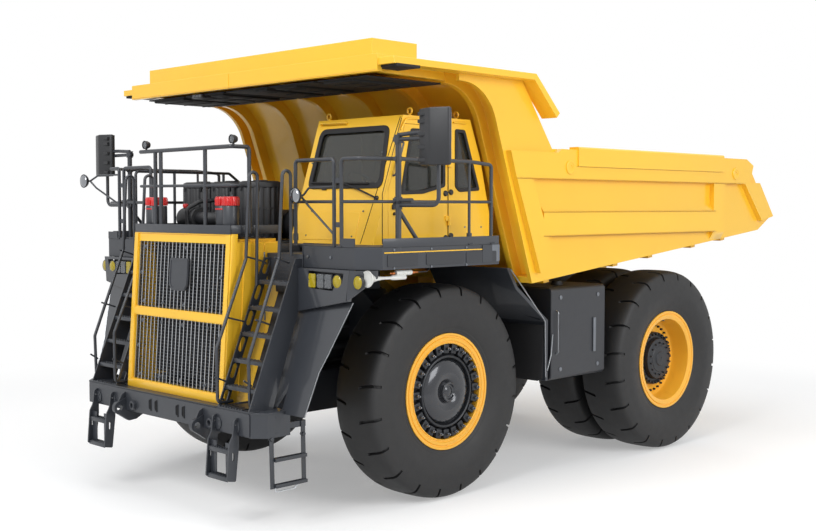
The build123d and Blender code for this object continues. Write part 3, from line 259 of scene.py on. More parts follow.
def checker_group():
    """Raised slip-proof studs on a walked surface."""
    tree, given, out = group_tree("Raised studs", "ShaderNodeTree", [
        ("Pitch", "NodeSocketFloat", 22), ("Height", "NodeSocketFloat", 0.002),
    ], [("Mask", "NodeSocketFloat"), ("Normal", "NodeSocketVector")])
    place = add(tree, "ShaderNodeTexCoord").outputs["Object"]
    cells = add(tree, "ShaderNodeTexVoronoi", {"Vector": place, "Scale": given.outputs["Pitch"],
                                               "Randomness": 0.0})
    studs = add(tree, "ShaderNodeMapRange", {"Value": cells.outputs["Distance"], "From Min": 0.18,
                                             "From Max": 0.3, "To Min": 1.0, "To Max": 0.0})
    bump = add(tree, "ShaderNodeBump", {"Strength": 0.9, "Distance": given.outputs["Height"],
                                        "Height": studs.outputs[0]})
    tree.links.new(studs.outputs[0], out.inputs["Mask"])
    tree.links.new(bump.outputs[0], out.inputs["Normal"])
    return tree


def weave_group():
    """Crossed threads of a seat cover."""
    tree, given, out = group_tree("Woven threads", "ShaderNodeTree", [
        ("Color", "NodeSocketColor", (0.1, 0.1, 0.1, 1)), ("Threads", "NodeSocketFloat", 260),
    ], [("Color", "NodeSocketColor"), ("Normal", "NodeSocketVector")])
    place = add(tree, "ShaderNodeTexCoord").outputs["Object"]
    across = add(tree, "ShaderNodeTexWave", {"Vector": place, "Scale": given.outputs["Threads"]},
                 bands_direction="X")
    along = add(tree, "ShaderNodeTexWave", {"Vector": place, "Scale": given.outputs["Threads"]},
                bands_direction="Z")
    both = add(tree, "ShaderNodeMath", {0: across.outputs["Fac"], 1: along.outputs["Fac"]},
               operation="MULTIPLY")
    level = add(tree, "ShaderNodeMapRange", {"Value": both.outputs[0], "To Min": 0.7, "To Max": 1.2})
    toned = add(tree, "ShaderNodeHueSaturation",
                {"Value": level.outputs[0], "Color": given.outputs["Color"]})
    bump = add(tree, "ShaderNodeBump", {"Strength": 0.6, "Distance": 0.0006, "Height": both.outputs[0]})
    tree.links.new(toned.outputs[0], out.inputs["Color"])
    tree.links.new(bump.outputs[0], out.inputs["Normal"])
    return tree


# ---------------------------------------------------------------- finishes
MATERIALS = {}


def principled(name):
    """New material, as its node tree and its one shader."""
    made = bpy.data.materials.new(name)
    made.use_nodes = True
    MATERIALS[name] = made
    return made.node_tree, made.node_tree.nodes["Principled BSDF"]


def skinned(name, tint, tone, gloss, gloss_range, scale, height, values=()):
    """Material whose colour, gloss and bump come from the surface skin."""
    tree, shader = principled(name)
    for key, value in dict(values).items():
        shader.inputs[key].default_value = value
    skin = add(tree, "ShaderNodeGroup", node_tree=bpy.data.node_groups["Surface skin"])
    for key, value in (("Color", (*tint, 1)), ("Tone", tone), ("Gloss", gloss), ("Gloss range", gloss_range),
                       ("Grain scale", scale), ("Grain height", height)):
        skin.inputs[key].default_value = value
    tree.links.new(skin.outputs["Color"], shader.inputs["Base Color"])
    tree.links.new(skin.outputs["Roughness"], shader.inputs["Roughness"])
    tree.links.new(skin.outputs["Normal"], shader.inputs["Normal"])
    return tree, shader


def make_finishes():
    """All surface finishes of the truck."""
    skin_group()
    brushed_group()
    checker_group()
    weave_group()
    tints = looks().colours
    glossy = {"Coat Weight": 0.35, "Coat Roughness": 0.12}
    dark_gloss = {"Coat Weight": 0.5, "Coat Roughness": 0.08}
    skinned("body_paint", tints.body, 0.1, 0.3, 0.12, 260, 0.00012, glossy)
    skinned("rim_paint", tints.rims, 0.14, 0.34, 0.14, 240, 0.00015, glossy)
    skinned("chassis_paint", tints.chassis, 0.3, 0.36, 0.18, 220, 0.0002, {"Coat Weight": 0.2})
    skinned("panel_gloss", tints.chassis, 0.25, 0.3, 0.12, 220, 0.0001, dark_gloss)
    skinned("copper_fitting", linear(186, 112, 62), 0.2, 0.3, 0.15, 300, 0.0002, {"Metallic": 0.9})
    # near-black painted shade: dark backs in the bumper's slots, shadow lines along the cab's seams, the
    # cab's dark inside, and the canopy's underside and side recesses
    skinned("shade_black", linear(20, 20, 21), 0.3, 0.7, 0.2, 120, 0.0004)
    skinned("hub_iron", linear(44, 46, 50), 0.35, 0.34, 0.22, 160, 0.0004, {"Metallic": 0.35})
    skinned("cover_gloss", linear(48, 50, 55), 0.2, 0.14, 0.1, 140, 0.0003,
            {"Metallic": 0.5, "Coat Weight": 0.6})
    skinned("bright_bolt", linear(120, 124, 130), 0.3, 0.28, 0.2, 200, 0.0003, {"Metallic": 0.9})
    skinned("tank_grey", linear(40, 42, 47), 0.22, 0.38, 0.16, 200, 0.0002, {"Coat Weight": 0.1})
    skinned("tyre_rubber", tints.rubber, 0.25, 0.5, 0.2, 90, 0.0008)
    skinned("seal_rubber", linear(26, 26, 28), 0.2, 0.6, 0.2, 300, 0.0003)
    skinned("moulded_black", linear(34, 35, 38), 0.2, 0.42, 0.16, 500, 0.0002)
    skinned("engine_iron", linear(74, 76, 80), 0.4, 0.45, 0.25, 120, 0.0006, {"Metallic": 0.4})
    skinned("cap_red", tints.caps, 0.1, 0.28, 0.1, 300, 0.0001, glossy)
    skinned("horn_white", linear(226, 226, 222), 0.05, 0.3, 0.1, 300, 0.0001, glossy)
    tree, shader = skinned("walkway_steel", tints.chassis, 0.3, 0.42, 0.2, 220, 0.0002)
    studs = add(tree, "ShaderNodeGroup", node_tree=bpy.data.node_groups["Raised studs"])
    tree.links.new(studs.outputs["Normal"], shader.inputs["Normal"])
    for name, tint, stretch in (("bright_bar", linear(196, 199, 203), (40, 40, 3)),
                                ("chrome", linear(224, 226, 230), (2, 60, 60))):
        tree, shader = principled(name)
        shader.inputs["Base Color"].default_value = (*tint, 1)
        shader.inputs["Metallic"].default_value = 1.0
        grain = add(tree, "ShaderNodeGroup", node_tree=bpy.data.node_groups["Brushed grain"])
        grain.inputs["Stretch"].default_value = stretch
        if name == "bright_bar":
            tree.links.new(grain.outputs["Roughness"], shader.inputs["Roughness"])
        else:
            shader.inputs["Roughness"].default_value = 0.08
        tree.links.new(grain.outputs["Normal"], shader.inputs["Normal"])
    tree, shader = principled("mirror_face")
    shader.inputs["Metallic"].default_value = 1.0
    shader.inputs["Base Color"].default_value = (0.3, 0.31, 0.33, 1)
    place = add(tree, "ShaderNodeTexCoord").outputs["Object"]
    haze = add(tree, "ShaderNodeTexNoise", {"Vector": place, "Scale": 3.0})
    ramp = add(tree, "ShaderNodeMapRange", {"Value": haze.outputs["Fac"], "To Min": 0.02, "To Max": 0.07})
    tree.links.new(ramp.outputs[0], shader.inputs["Roughness"])
    make_glass("tinted_pane", linear(120, 122, 116), 0.85)
    make_glass("lamp_lens", linear(150, 154, 158), 0.65)
    make_glass("amber_lens", linear(206, 182, 40), 0.35)
    tree, shader = principled("seat_cloth")
    shader.inputs["Roughness"].default_value = 0.9
    shader.inputs["Sheen Weight"].default_value = 0.3
    weave = add(tree, "ShaderNodeGroup", node_tree=bpy.data.node_groups["Woven threads"])
    weave.inputs["Color"].default_value = (*linear(58, 60, 66), 1)
    tree.links.new(weave.outputs["Color"], shader.inputs["Base Color"])
    tree.links.new(weave.outputs["Normal"], shader.inputs["Normal"])


def make_glass(name, tint, clear):
    """Thin pane that lets part of the light through and mirrors the rest."""
    tree, shader = principled(name)
    shader.inputs["Base Color"].default_value = (*tint, 1)
    shader.inputs["Metallic"].default_value = 0.0
    shader.inputs["Transmission Weight"].default_value = clear
    shader.inputs["IOR"].default_value = 1.45
    place = add(tree, "ShaderNodeTexCoord").outputs["Object"]
    ripple = add(tree, "ShaderNodeTexNoise", {"Vector": place, "Scale": 2.5, "Detail": 1})
    haze = add(tree, "ShaderNodeMapRange", {"Value": ripple.outputs["Fac"], "To Min": 0.02, "To Max": 0.08})
    bump = add(tree, "ShaderNodeBump", {"Strength": 0.1, "Distance": 0.001, "Height": ripple.outputs["Fac"]})
    tree.links.new(haze.outputs[0], shader.inputs["Roughness"])
    tree.links.new(bump.outputs[0], shader.inputs["Normal"])


# ---------------------------------------------------------------- shape helpers
AXES = {"X": Matrix(((0, 0, 1), (1, 0, 0), (0, 1, 0))).to_4x4(),      # drawn (u, v) lie along Y and Z
        "Y": Matrix(((1, 0, 0), (0, 0, -1), (0, 1, 0))).to_4x4(),     # along X and Z
        "Z": Matrix.Identity(4)}                                      # along X and Y


def band(start, end, inner, outer):
    """Closed profile of a flat ring from start to end along the axis."""
    return [(start, inner), (start, outer), (end, outer), (end, inner), (start, inner)]


def disc(start, end, radius):
    """Profile of a plain disc from start to end along the axis."""
    return [(start, 0), (start, radius), (end, radius), (end, 0)]


def stud(radius, shoulder, top_radius, top):
    """Profile of a bolt head or cap that narrows to its top."""
    return [(0, 0), (0, radius), (shoulder, top_radius), (top, 0)]


class Work:
    """A mesh under way, in the truck's own measure from the front axle."""

    def __init__(self):
        self.mesh = bmesh.new()

    def _new(self, before, bevel, segments=2):
        """Bevels the sharp edges of the faces from this place in the mesh's list on."""
        if bevel:
            faces = list(self.mesh.faces)[before:]
            edges = {e for f in faces for e in f.edges if len(e.link_faces) == 2
                     and e.calc_face_angle(0) > 0.5}
            bmesh.ops.bevel(self.mesh, geom=list(edges), offset=bevel, segments=segments, profile=0.5,
                            affect="EDGES", clamp_overlap=True)

    def box(self, x, y, z, bevel=0.004):
        before = len(self.mesh.faces)
        made = bmesh.ops.create_cube(self.mesh, size=1)
        low, high = at(x[0], y[0], z[0]), at(x[1], y[1], z[1])
        shape = Matrix.Translation((low + high) / 2) @ Matrix.Diagonal((*(high - low), 1))
        bmesh.ops.transform(self.mesh, matrix=shape, verts=made["verts"])
        self._new(before, bevel)

    def slab(self, axis, points, low, high, bevel=0.004):
        """Outline in the two other directions, as thick as low to high along the axis."""
        before = len(self.mesh.faces)
        rings = []
        for depth in (low, high):
            ring = []
            for u, v in points:
                spot = {"X": (depth, u, v), "Y": (u, depth, v), "Z": (u, v, depth)}[axis]
                ring.append(self.mesh.verts.new(at(*spot)))
            rings.append(ring)
        self._close(*rings)
        self._new(before, bevel)

    def _close(self, one, two):
        """Faces that close the solid between two loops of vertices."""
        made = [self.mesh.faces.new(one), self.mesh.faces.new(two)]
        for i in range(len(one)):
            j = (i + 1) % len(one)
            made.append(self.mesh.faces.new((one[i], one[j], two[j], two[i])))
        bmesh.ops.recalc_face_normals(self.mesh, faces=made)

    def plate(self, corners, back):
        """Solid between a loop of places and the same loop moved by the step back."""
        self._close([self.mesh.verts.new(at(*place)) for place in corners],
                    [self.mesh.verts.new(at(*place) + Vector(back)) for place in corners])

    def rod(self, start, end, radius, sides=16, bevel=0.0):
        before = len(self.mesh.faces)
        start, end = at(*start), at(*end)
        along = end - start
        made = bmesh.ops.create_cone(self.mesh, cap_ends=True, segments=sides, radius1=radius,
                                     radius2=radius, depth=along.length)
        turn = along.to_track_quat("Z", "Y").to_matrix().to_4x4()
        bmesh.ops.transform(self.mesh, matrix=Matrix.Translation((start + end) / 2) @ turn,
                            verts=made["verts"])
        self._new(before, bevel)

    def turned(self, profile, centre, axis="X", sides=64, flip=False):
        """Profile of (place along the axis, radius) turned round it; it closes where the radius is 0."""
        centre = at(*centre)
        basis = {"X": (Vector((1, 0, 0)), Vector((0, 1, 0)), Vector((0, 0, 1))),
                 "Y": (Vector((0, 1, 0)), Vector((0, 0, 1)), Vector((1, 0, 0))),
                 "Z": (Vector((0, 0, 1)), Vector((1, 0, 0)), Vector((0, 1, 0)))}[axis]
        rows = []
        for along, radius in profile:
            along = -along if flip else along
            if radius == 0:
                rows.append([self.mesh.verts.new(centre + basis[0] * along)])
                continue
            row = []
            for k in range(sides):
                a = 2 * math.pi * k / sides
                spoke = basis[1] * math.cos(a) + basis[2] * math.sin(a)
                row.append(self.mesh.verts.new(centre + basis[0] * along + spoke * radius))
            rows.append(row)
        made = []
        for one, two in zip(rows, rows[1:]):
            for k in range(sides):
                j = (k + 1) % sides
                corners = [one[k % len(one)], one[j % len(one)], two[j % len(two)], two[k % len(two)]]
                corners = [c for i, c in enumerate(corners) if c not in corners[:i]]
                made.append(self.mesh.faces.new(corners))
        bmesh.ops.recalc_face_normals(self.mesh, faces=made)

    def ball(self, centre, radius, detail=12):
        made = bmesh.ops.create_uvsphere(self.mesh, u_segments=detail, v_segments=detail, radius=radius)
        bmesh.ops.translate(self.mesh, vec=at(*centre), verts=made["verts"])

    def mirror(self):
        """Adds the same shapes on the truck's right side."""
        made = bmesh.ops.duplicate(self.mesh, geom=list(self.mesh.faces) + list(self.mesh.edges)
                                   + list(self.mesh.verts))["geom"]
        verts = [g for g in made if isinstance(g, bmesh.types.BMVert)]
        faces = [g for g in made if isinstance(g, bmesh.types.BMFace)]
        bmesh.ops.transform(self.mesh, matrix=Matrix.Diagonal((-1, 1, 1, 1)), verts=verts)
        bmesh.ops.reverse_faces(self.mesh, faces=faces)

    def taken(self, name):
        """The mesh drawn so far, taken out of the work."""
        mesh = bpy.data.meshes.new(name)
        self.mesh.to_mesh(mesh)
        self.mesh.free()
        return mesh

    def piece(self, name, finish, body="chassis", replaces=(), smooth=40):
        return finished(name, self.taken(name), finish, body, replaces, smooth)


def finished(name, mesh, finish, body="chassis", replaces=(), smooth=40):
    """Links a mesh as a named piece with its finish, body and slot."""
    obj = bpy.data.objects.new(name, mesh)
    bpy.context.scene.collection.objects.link(obj)
    mesh.materials.clear()
    mesh.materials.append(MATERIALS[finish])
    mesh.polygons.foreach_set("use_smooth", [True] * len(mesh.polygons))
    mesh.set_sharp_from_angle(angle=math.radians(smooth))
    mesh.update()
    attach(obj, body)
    if replaces:
        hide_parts(*replaces)
    return obj


def outlined(loops, axis, low, high, bevel=0.003):
    """Plate with holes: the first loop is its edge, the others are cut out. Returns a mesh."""
    curve = bpy.data.curves.new("outline", "CURVE")
    curve.dimensions = "2D"
    curve.fill_mode = "BOTH"
    curve.extrude = (high - low) / 2 - bevel
    curve.bevel_depth = bevel
    curve.bevel_resolution = 1
    for loop in loops:
        spline = curve.splines.new("POLY")
        spline.points.add(len(loop) - 1)
        for point, (u, v) in zip(spline.points, loop):
            point.co = (u, v, 0, 1)
        spline.use_cyclic_u = True
    carrier = bpy.data.objects.new("outline", curve)
    bpy.context.scene.collection.objects.link(carrier)
    mesh = bpy.data.meshes.new_from_object(carrier.evaluated_get(bpy.context.evaluated_depsgraph_get()))
    bpy.data.objects.remove(carrier)
    mid = (low + high) / 2
    shift = {"X": at(mid, 0, 0), "Y": at(0, mid, 0), "Z": at(0, 0, mid)}[axis]
    mesh.transform(Matrix.Translation(shift) @ AXES[axis])
    return mesh


def rounded(points, radius, steps=5):
    """The same loop with its corners rounded."""
    loop = []
    for i, (u, v) in enumerate(points):
        here = Vector((u, v))
        before = Vector(points[i - 1]) - here
        after = Vector(points[(i + 1) % len(points)]) - here
        reach = min(radius, before.length * 0.45, after.length * 0.45)
        start, end = here + before.normalized() * reach, here + after.normalized() * reach
        for k in range(steps + 1):
            t = k / steps
            spot = start * (1 - t) ** 2 + here * 2 * t * (1 - t) + end * t ** 2
            loop.append((spot.x, spot.y))
    return loop


def grown(points, amount):
    """The same loop moved outwards by an amount, or inwards by a negative one."""
    total = len(points)
    area = sum(points[i - 1][0] * points[i][1] - points[i][0] * points[i - 1][1] for i in range(total))
    sign = 1 if area > 0 else -1
    loop = []
    for i in range(total):
        a, b, c = Vector(points[i - 1]), Vector(points[i]), Vector(points[(i + 1) % total])
        one, two = (b - a).normalized(), (c - b).normalized()
        n1, n2 = Vector((one.y, -one.x)) * sign, Vector((two.y, -two.x)) * sign
        bisector = (n1 + n2).normalized()
        spot = b + bisector * amount / max(0.35, bisector.dot(n1))
        loop.append((spot.x, spot.y))
    return loop


# ---------------------------------------------------------------- geometry node trees
def ring_tree():
    """Copies of a mesh turned round the X, Y or Z axis through the origin."""
    tree, given, out = group_tree("Copies in a ring", "GeometryNodeTree", [
        ("Geometry", "NodeSocketGeometry", None), ("Count", "NodeSocketInt", 12),
        ("Axis", "NodeSocketVector", (1, 0, 0)), ("Start", "NodeSocketFloat", 0.0),
        ("Join", "NodeSocketFloat", 0.0), ("Material", "NodeSocketMaterial", None),
    ], [("Geometry", "NodeSocketGeometry")])
    spots = add(tree, "GeometryNodeMeshLine", {"Count": given.outputs["Count"], "Offset": (0, 0, 0)})
    index = add(tree, "GeometryNodeInputIndex")
    step = add(tree, "ShaderNodeMath", {0: math.tau, 1: given.outputs["Count"]}, operation="DIVIDE")
    angle = add(tree, "ShaderNodeMath", {0: index.outputs[0], 1: step.outputs[0]}, operation="MULTIPLY")
    shifted = add(tree, "ShaderNodeMath", {0: angle.outputs[0], 1: given.outputs["Start"]}, operation="ADD")
    turn = add(tree, "ShaderNodeVectorMath", {0: given.outputs["Axis"], "Scale": shifted.outputs[0]},
               operation="SCALE")
    copies = add(tree, "GeometryNodeInstanceOnPoints", {"Points": spots.outputs["Mesh"],
                 "Instance": given.outputs["Geometry"], "Rotation": turn.outputs[0]})
    real = add(tree, "GeometryNodeRealizeInstances", {"Geometry": copies.outputs[0]})
    merged = add(tree, "GeometryNodeMergeByDistance", {"Geometry": real.outputs[0],
                                                       "Distance": given.outputs["Join"]})
    coated = add(tree, "GeometryNodeSetMaterial", {"Geometry": merged.outputs[0],
                                                   "Material": given.outputs["Material"]})
    tree.links.new(coated.outputs[0], out.inputs[0])
    return tree


def row_tree():
    """Copies of a mesh set out in a straight row."""
    tree, given, out = group_tree("Copies in a row", "GeometryNodeTree", [
        ("Geometry", "NodeSocketGeometry", None), ("Count", "NodeSocketInt", 5),
        ("Step", "NodeSocketVector", (1, 0, 0)), ("Material", "NodeSocketMaterial", None),
    ], [("Geometry", "NodeSocketGeometry")])
    spots = add(tree, "GeometryNodeMeshLine",
                {"Count": given.outputs["Count"], "Offset": given.outputs["Step"]})
    copies = add(tree, "GeometryNodeInstanceOnPoints", {"Points": spots.outputs["Mesh"],
                                                        "Instance": given.outputs["Geometry"]})
    real = add(tree, "GeometryNodeRealizeInstances", {"Geometry": copies.outputs[0]})
    coated = add(tree, "GeometryNodeSetMaterial", {"Geometry": real.outputs[0],
                                                   "Material": given.outputs["Material"]})
    tree.links.new(coated.outputs[0], out.inputs[0])
    return tree


def tube_tree():
    """Round tube along each path, with bent corners."""
    tree, given, out = group_tree("Bent tube", "GeometryNodeTree",
                                  [("Geometry", "NodeSocketGeometry", None),
                                   ("Radius", "NodeSocketFloat", 0.02), ("Bend", "NodeSocketFloat", 0.08),
                                   ("Sides", "NodeSocketInt", 12), ("Material", "NodeSocketMaterial", None),
                                   ], [("Geometry", "NodeSocketGeometry")])
    bent = add(tree, "GeometryNodeFilletCurve",
               {"Curve": given.outputs["Geometry"], "Radius": given.outputs["Bend"], "Count": 5,
                "Limit Radius": True}, mode="POLY")
    ring = add(tree, "GeometryNodeCurvePrimitiveCircle", {"Resolution": given.outputs["Sides"],
                                                          "Radius": given.outputs["Radius"]})
    tube = add(tree, "GeometryNodeCurveToMesh", {"Curve": bent.outputs[0], "Profile Curve": ring.outputs[0],
                                                 "Fill Caps": True})
    coated = add(tree, "GeometryNodeSetMaterial", {"Geometry": tube.outputs[0],
                                                   "Material": given.outputs["Material"]})
    tree.links.new(coated.outputs[0], out.inputs[0])
    return tree


def grown_mesh(carrier, tree_name, values):
    """Runs a geometry node tree on a carrier object and returns the plain mesh; the carrier goes."""
    tree = bpy.data.node_groups[tree_name]
    names = {item.name: item.identifier for item in tree.interface.items_tree
             if item.item_type == "SOCKET" and item.in_out == "INPUT"}
    bpy.context.scene.collection.objects.link(carrier)
    modifier = carrier.modifiers.new(tree_name, "NODES")
    modifier.node_group = tree
    for label, value in values.items():
        modifier[names[label]] = value
    mesh = bpy.data.meshes.new_from_object(carrier.evaluated_get(bpy.context.evaluated_depsgraph_get()))
    carrier.modifiers.remove(modifier)
    bpy.data.objects.remove(carrier)
    return mesh


def carrier_of(work):
    """Carrier object for a node tree, from a mesh under way."""
    return bpy.data.objects.new("carrier", work.taken("carrier"))


def ring_of(name, work, total, centre, finish, body, axis=(1, 0, 0), start=0.0, join=0.0, replaces=(),
            smooth=40):
    """One shape drawn round the front axle's ground point, copied in a ring and set at its centre."""
    carrier = carrier_of(work)
    carrier.data.transform(Matrix.Translation(-at(0, 0, 0)))
    mesh = grown_mesh(carrier, "Copies in a ring", {"Count": total, "Axis": axis, "Start": start,
                                                    "Join": join, "Material": MATERIALS[finish]})
    mesh.transform(Matrix.Translation(at(*centre)))
    return finished(name, mesh, finish, body, replaces, smooth)


def row_of(name, work, total, step, finish, body="chassis", replaces=(), smooth=40):
    mesh = grown_mesh(carrier_of(work), "Copies in a row", {"Count": total, "Step": step,
                                                            "Material": MATERIALS[finish]})
    return finished(name, mesh, finish, body, replaces, smooth)


def tubes(name, paths, radius, finish, body="chassis", bend=0.08, sides=12, replaces=()):
    """Tubes along straight runs with bent corners, all of one radius."""
    curve = bpy.data.curves.new(name, "CURVE")
    curve.dimensions = "3D"
    for path in paths:
        spline = curve.splines.new("POLY")
        spline.points.add(len(path) - 1)
        for point, place in zip(spline.points, path):
            point.co = (*at(*place), 1)
    mesh = grown_mesh(bpy.data.objects.new("carrier", curve), "Bent tube",
                      {"Radius": radius, "Bend": bend, "Sides": sides, "Material": MATERIALS[finish]})
    return finished(name, mesh, finish, body, replaces, 50)


def mirrored(paths):
    """The paths and their copies on the truck's right side."""
    return list(paths) + [[(-x, y, z) for x, y, z in path] for path in paths]


def joined(name, meshes, finish, body="chassis", replaces=(), smooth=40):
    """Several meshes as one piece."""
    whole = bmesh.new()
    for mesh in meshes:
        whole.from_mesh(mesh)
    mesh = bpy.data.meshes.new(name)
    whole.to_mesh(mesh)
    whole.free()
    return finished(name, mesh, finish, body, replaces, smooth)


def flipped(mesh):
    """Copy of a mesh on the truck's right side."""
    copy = mesh.copy()
    copy.transform(Matrix.Diagonal((-1, 1, 1, 1)))
    copy.flip_normals()
    return copy


def two_sided(meshes):
    """The meshes and their copies on the truck's other side."""
    return meshes + [flipped(mesh) for mesh in meshes]


def softened(node, finish, bevel=0.006, drop=(), cut=None):
    """Stands a copy of a CAD node in for it, with its sharp edges eased and its round faces smooth.

    drop lowers what lies above each height by its amount, and cut takes a box out of the copy."""
    source = frame["nodes"][node]
    shape = bmesh.new()
    shape.from_mesh(source.data)
    bmesh.ops.remove_doubles(shape, verts=shape.verts, dist=0.00005)
    bmesh.ops.dissolve_limit(shape, angle_limit=math.radians(0.6), verts=shape.verts, edges=shape.edges)
    for vert in shape.verts:
        vert.co.z -= max((amount for height, amount in drop if vert.co.z > height), default=0)
    mesh = bpy.data.meshes.new(node + "_shape")
    shape.to_mesh(mesh)
    shape.free()
    carrier = bpy.data.objects.new(node + "_shape", mesh)
    bpy.context.scene.collection.objects.link(carrier)
    if cut:
        work = Work()
        work.box(*cut, 0)
        work.mirror()
        knife = carrier_of(work)
        bpy.context.scene.collection.objects.link(knife)
        notch = carrier.modifiers.new("Notch", "BOOLEAN")
        notch.object = knife
        notch.operation = "DIFFERENCE"
    ease = carrier.modifiers.new("Ease edges", "BEVEL")
    ease.width = bevel
    ease.segments = 2
    ease.limit_method = "ANGLE"
    ease.angle_limit = math.radians(40)
    even = carrier.modifiers.new("Even normals", "WEIGHTED_NORMAL")
    even.keep_sharp = False
    for polygon in mesh.polygons:
        polygon.use_smooth = True
    done = bpy.data.meshes.new_from_object(carrier.evaluated_get(bpy.context.evaluated_depsgraph_get()))
    bpy.data.objects.remove(carrier)
    if cut:
        bpy.data.objects.remove(knife)
    return finished(node + "_panel", done, finish, source["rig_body"], (node,), 55)


# ---------------------------------------------------------------- stage
CAMERA_PLACE = (12.149, -10.5625, 3.6625)
CAMERA_AZIMUTH = 45.104         # degrees round from straight ahead of the truck
CAMERA_HEIGHT = 2.928           # degrees above the level
FLOOR_GLOW = 0.33
FLOOR_FADE = (7.5, 13.0)        # metres from the truck's middle over which the floor turns white


def floor_finish():
    """Pale floor that keeps shadows near the truck and fades into the white of the backdrop."""
    made = bpy.data.materials.new("studio_floor")
    made.use_nodes = True
    tree = made.node_tree
    tree.nodes.clear()
    place = add(tree, "ShaderNodeTexCoord").outputs["Object"]
    cloud = add(tree, "ShaderNodeTexNoise", {"Vector": place, "Scale": 0.2})
    tone = add(tree, "ShaderNodeMapRange", {"Value": cloud.outputs["Fac"], "To Min": 0.7, "To Max": 0.72})
    matt = add(tree, "ShaderNodeBsdfDiffuse", {"Color": tone.outputs[0]})
    glow = add(tree, "ShaderNodeEmission", {"Color": (1, 1, 1, 1), "Strength": FLOOR_GLOW})
    both = add(tree, "ShaderNodeAddShader", {0: matt.outputs[0], 1: glow.outputs[0]})
    white = add(tree, "ShaderNodeEmission", {"Color": (1, 1, 1, 1), "Strength": 1.0})
    shifted = add(tree, "ShaderNodeVectorMath", {0: place, 1: (0, -FRONT_AXLE.y - 2, 0)}, operation="ADD")
    away = add(tree, "ShaderNodeVectorMath", {0: shifted.outputs[0]}, operation="LENGTH")
    fade = add(tree, "ShaderNodeMapRange", {"Value": away.outputs["Value"], "From Min": FLOOR_FADE[0],
                                            "From Max": FLOOR_FADE[1]}, interpolation_type="SMOOTHSTEP")
    near = add(tree, "ShaderNodeMixShader", {0: fade.outputs[0], 1: both.outputs[0], 2: white.outputs[0]})
    path = add(tree, "ShaderNodeLightPath")
    seen = add(tree, "ShaderNodeMath", {0: path.outputs["Is Camera Ray"], 1: path.outputs["Is Glossy Ray"]},
               operation="MAXIMUM")
    mixed = add(tree, "ShaderNodeMixShader", {0: seen.outputs[0], 1: matt.outputs[0], 2: near.outputs[0]})
    out = add(tree, "ShaderNodeOutputMaterial")
    tree.links.new(mixed.outputs[0], out.inputs["Surface"])
    return made


def make_world(strength):
    """Even white light, seen as plain white."""
    world = bpy.data.worlds.new("studio_sky")
    world.use_nodes = True
    tree = world.node_tree
    tree.nodes.clear()
    light = add(tree, "ShaderNodeBackground", {"Color": (0.94, 0.97, 1, 1), "Strength": strength})
    white = add(tree, "ShaderNodeBackground", {"Color": (1, 1, 1, 1), "Strength": 1.0})
    path = add(tree, "ShaderNodeLightPath")
    clear = add(tree, "ShaderNodeMath",
                {0: path.outputs["Is Camera Ray"], 1: path.outputs["Is Transmission Ray"]},
                operation="MAXIMUM")
    seen = add(tree, "ShaderNodeMath", {0: clear.outputs[0], 1: path.outputs["Is Glossy Ray"]},
               operation="MAXIMUM")
    mixed = add(tree, "ShaderNodeMixShader", {0: seen.outputs[0], 1: light.outputs[0], 2: white.outputs[0]})
    out = add(tree, "ShaderNodeOutputWorld")
    tree.links.new(mixed.outputs[0], out.inputs["Surface"])
    bpy.context.scene.world = world


def lamp(name, place, target, size, power, tint=(1, 1, 1)):
    data = bpy.data.lights.new(name, "AREA")
    data.shape = "RECTANGLE"
    data.size, data.size_y = size
    data.energy = power
    data.color = tint
    obj = bpy.data.objects.new(name, data)
    obj.location = at(*place)
    obj.rotation_euler = (at(*target) - at(*place)).to_track_quat("-Z", "Y").to_euler()
    bpy.context.scene.collection.objects.link(obj)


def build_stage():
    """Camera, lamps, sky and floor."""
    scene = bpy.context.scene
    settings = looks().stage
    azimuth, height = math.radians(CAMERA_AZIMUTH), math.radians(CAMERA_HEIGHT)
    back = Vector((math.sin(azimuth) * math.cos(height), -math.cos(azimuth) * math.cos(height),
                   math.sin(height)))
    data = bpy.data.cameras.new("camera")
    data.lens = settings.lens
    data.sensor_width = 36
    data.clip_end = 500
    camera = bpy.data.objects.new("camera", data)
    camera.location = at(*CAMERA_PLACE)
    camera.rotation_euler = back.to_track_quat("Z", "Y").to_euler()
    scene.collection.objects.link(camera)
    scene.camera = camera
    make_world(settings.sky)
    lamp("key_lamp", (3, -16, 14), (0, 0, 2.5), (10, 8), settings.key * 1.9)
    lamp("side_lamp", (17, 2, 9), (0, 1, 2.5), (9, 9), settings.key * 1.25)
    lamp("top_lamp", (0, 1, 17), (0, 1, 0), (14, 14), settings.key * 1.0)
    lamp("rear_lamp", (-12, 14, 10), (0, 2, 2), (10, 8), settings.key * 0.6)
    floor = bmesh.new()
    bmesh.ops.create_grid(floor, x_segments=2, y_segments=2, size=70)
    mesh = bpy.data.meshes.new("studio_floor")
    floor.to_mesh(mesh)
    floor.free()
    mesh.materials.append(floor_finish())
    ground = bpy.data.objects.new("studio_floor", mesh)
    ground.location.z = CAD_BOX[0][2] - 0.001
    scene.collection.objects.link(ground)
    scene.view_settings.view_transform = "Standard"


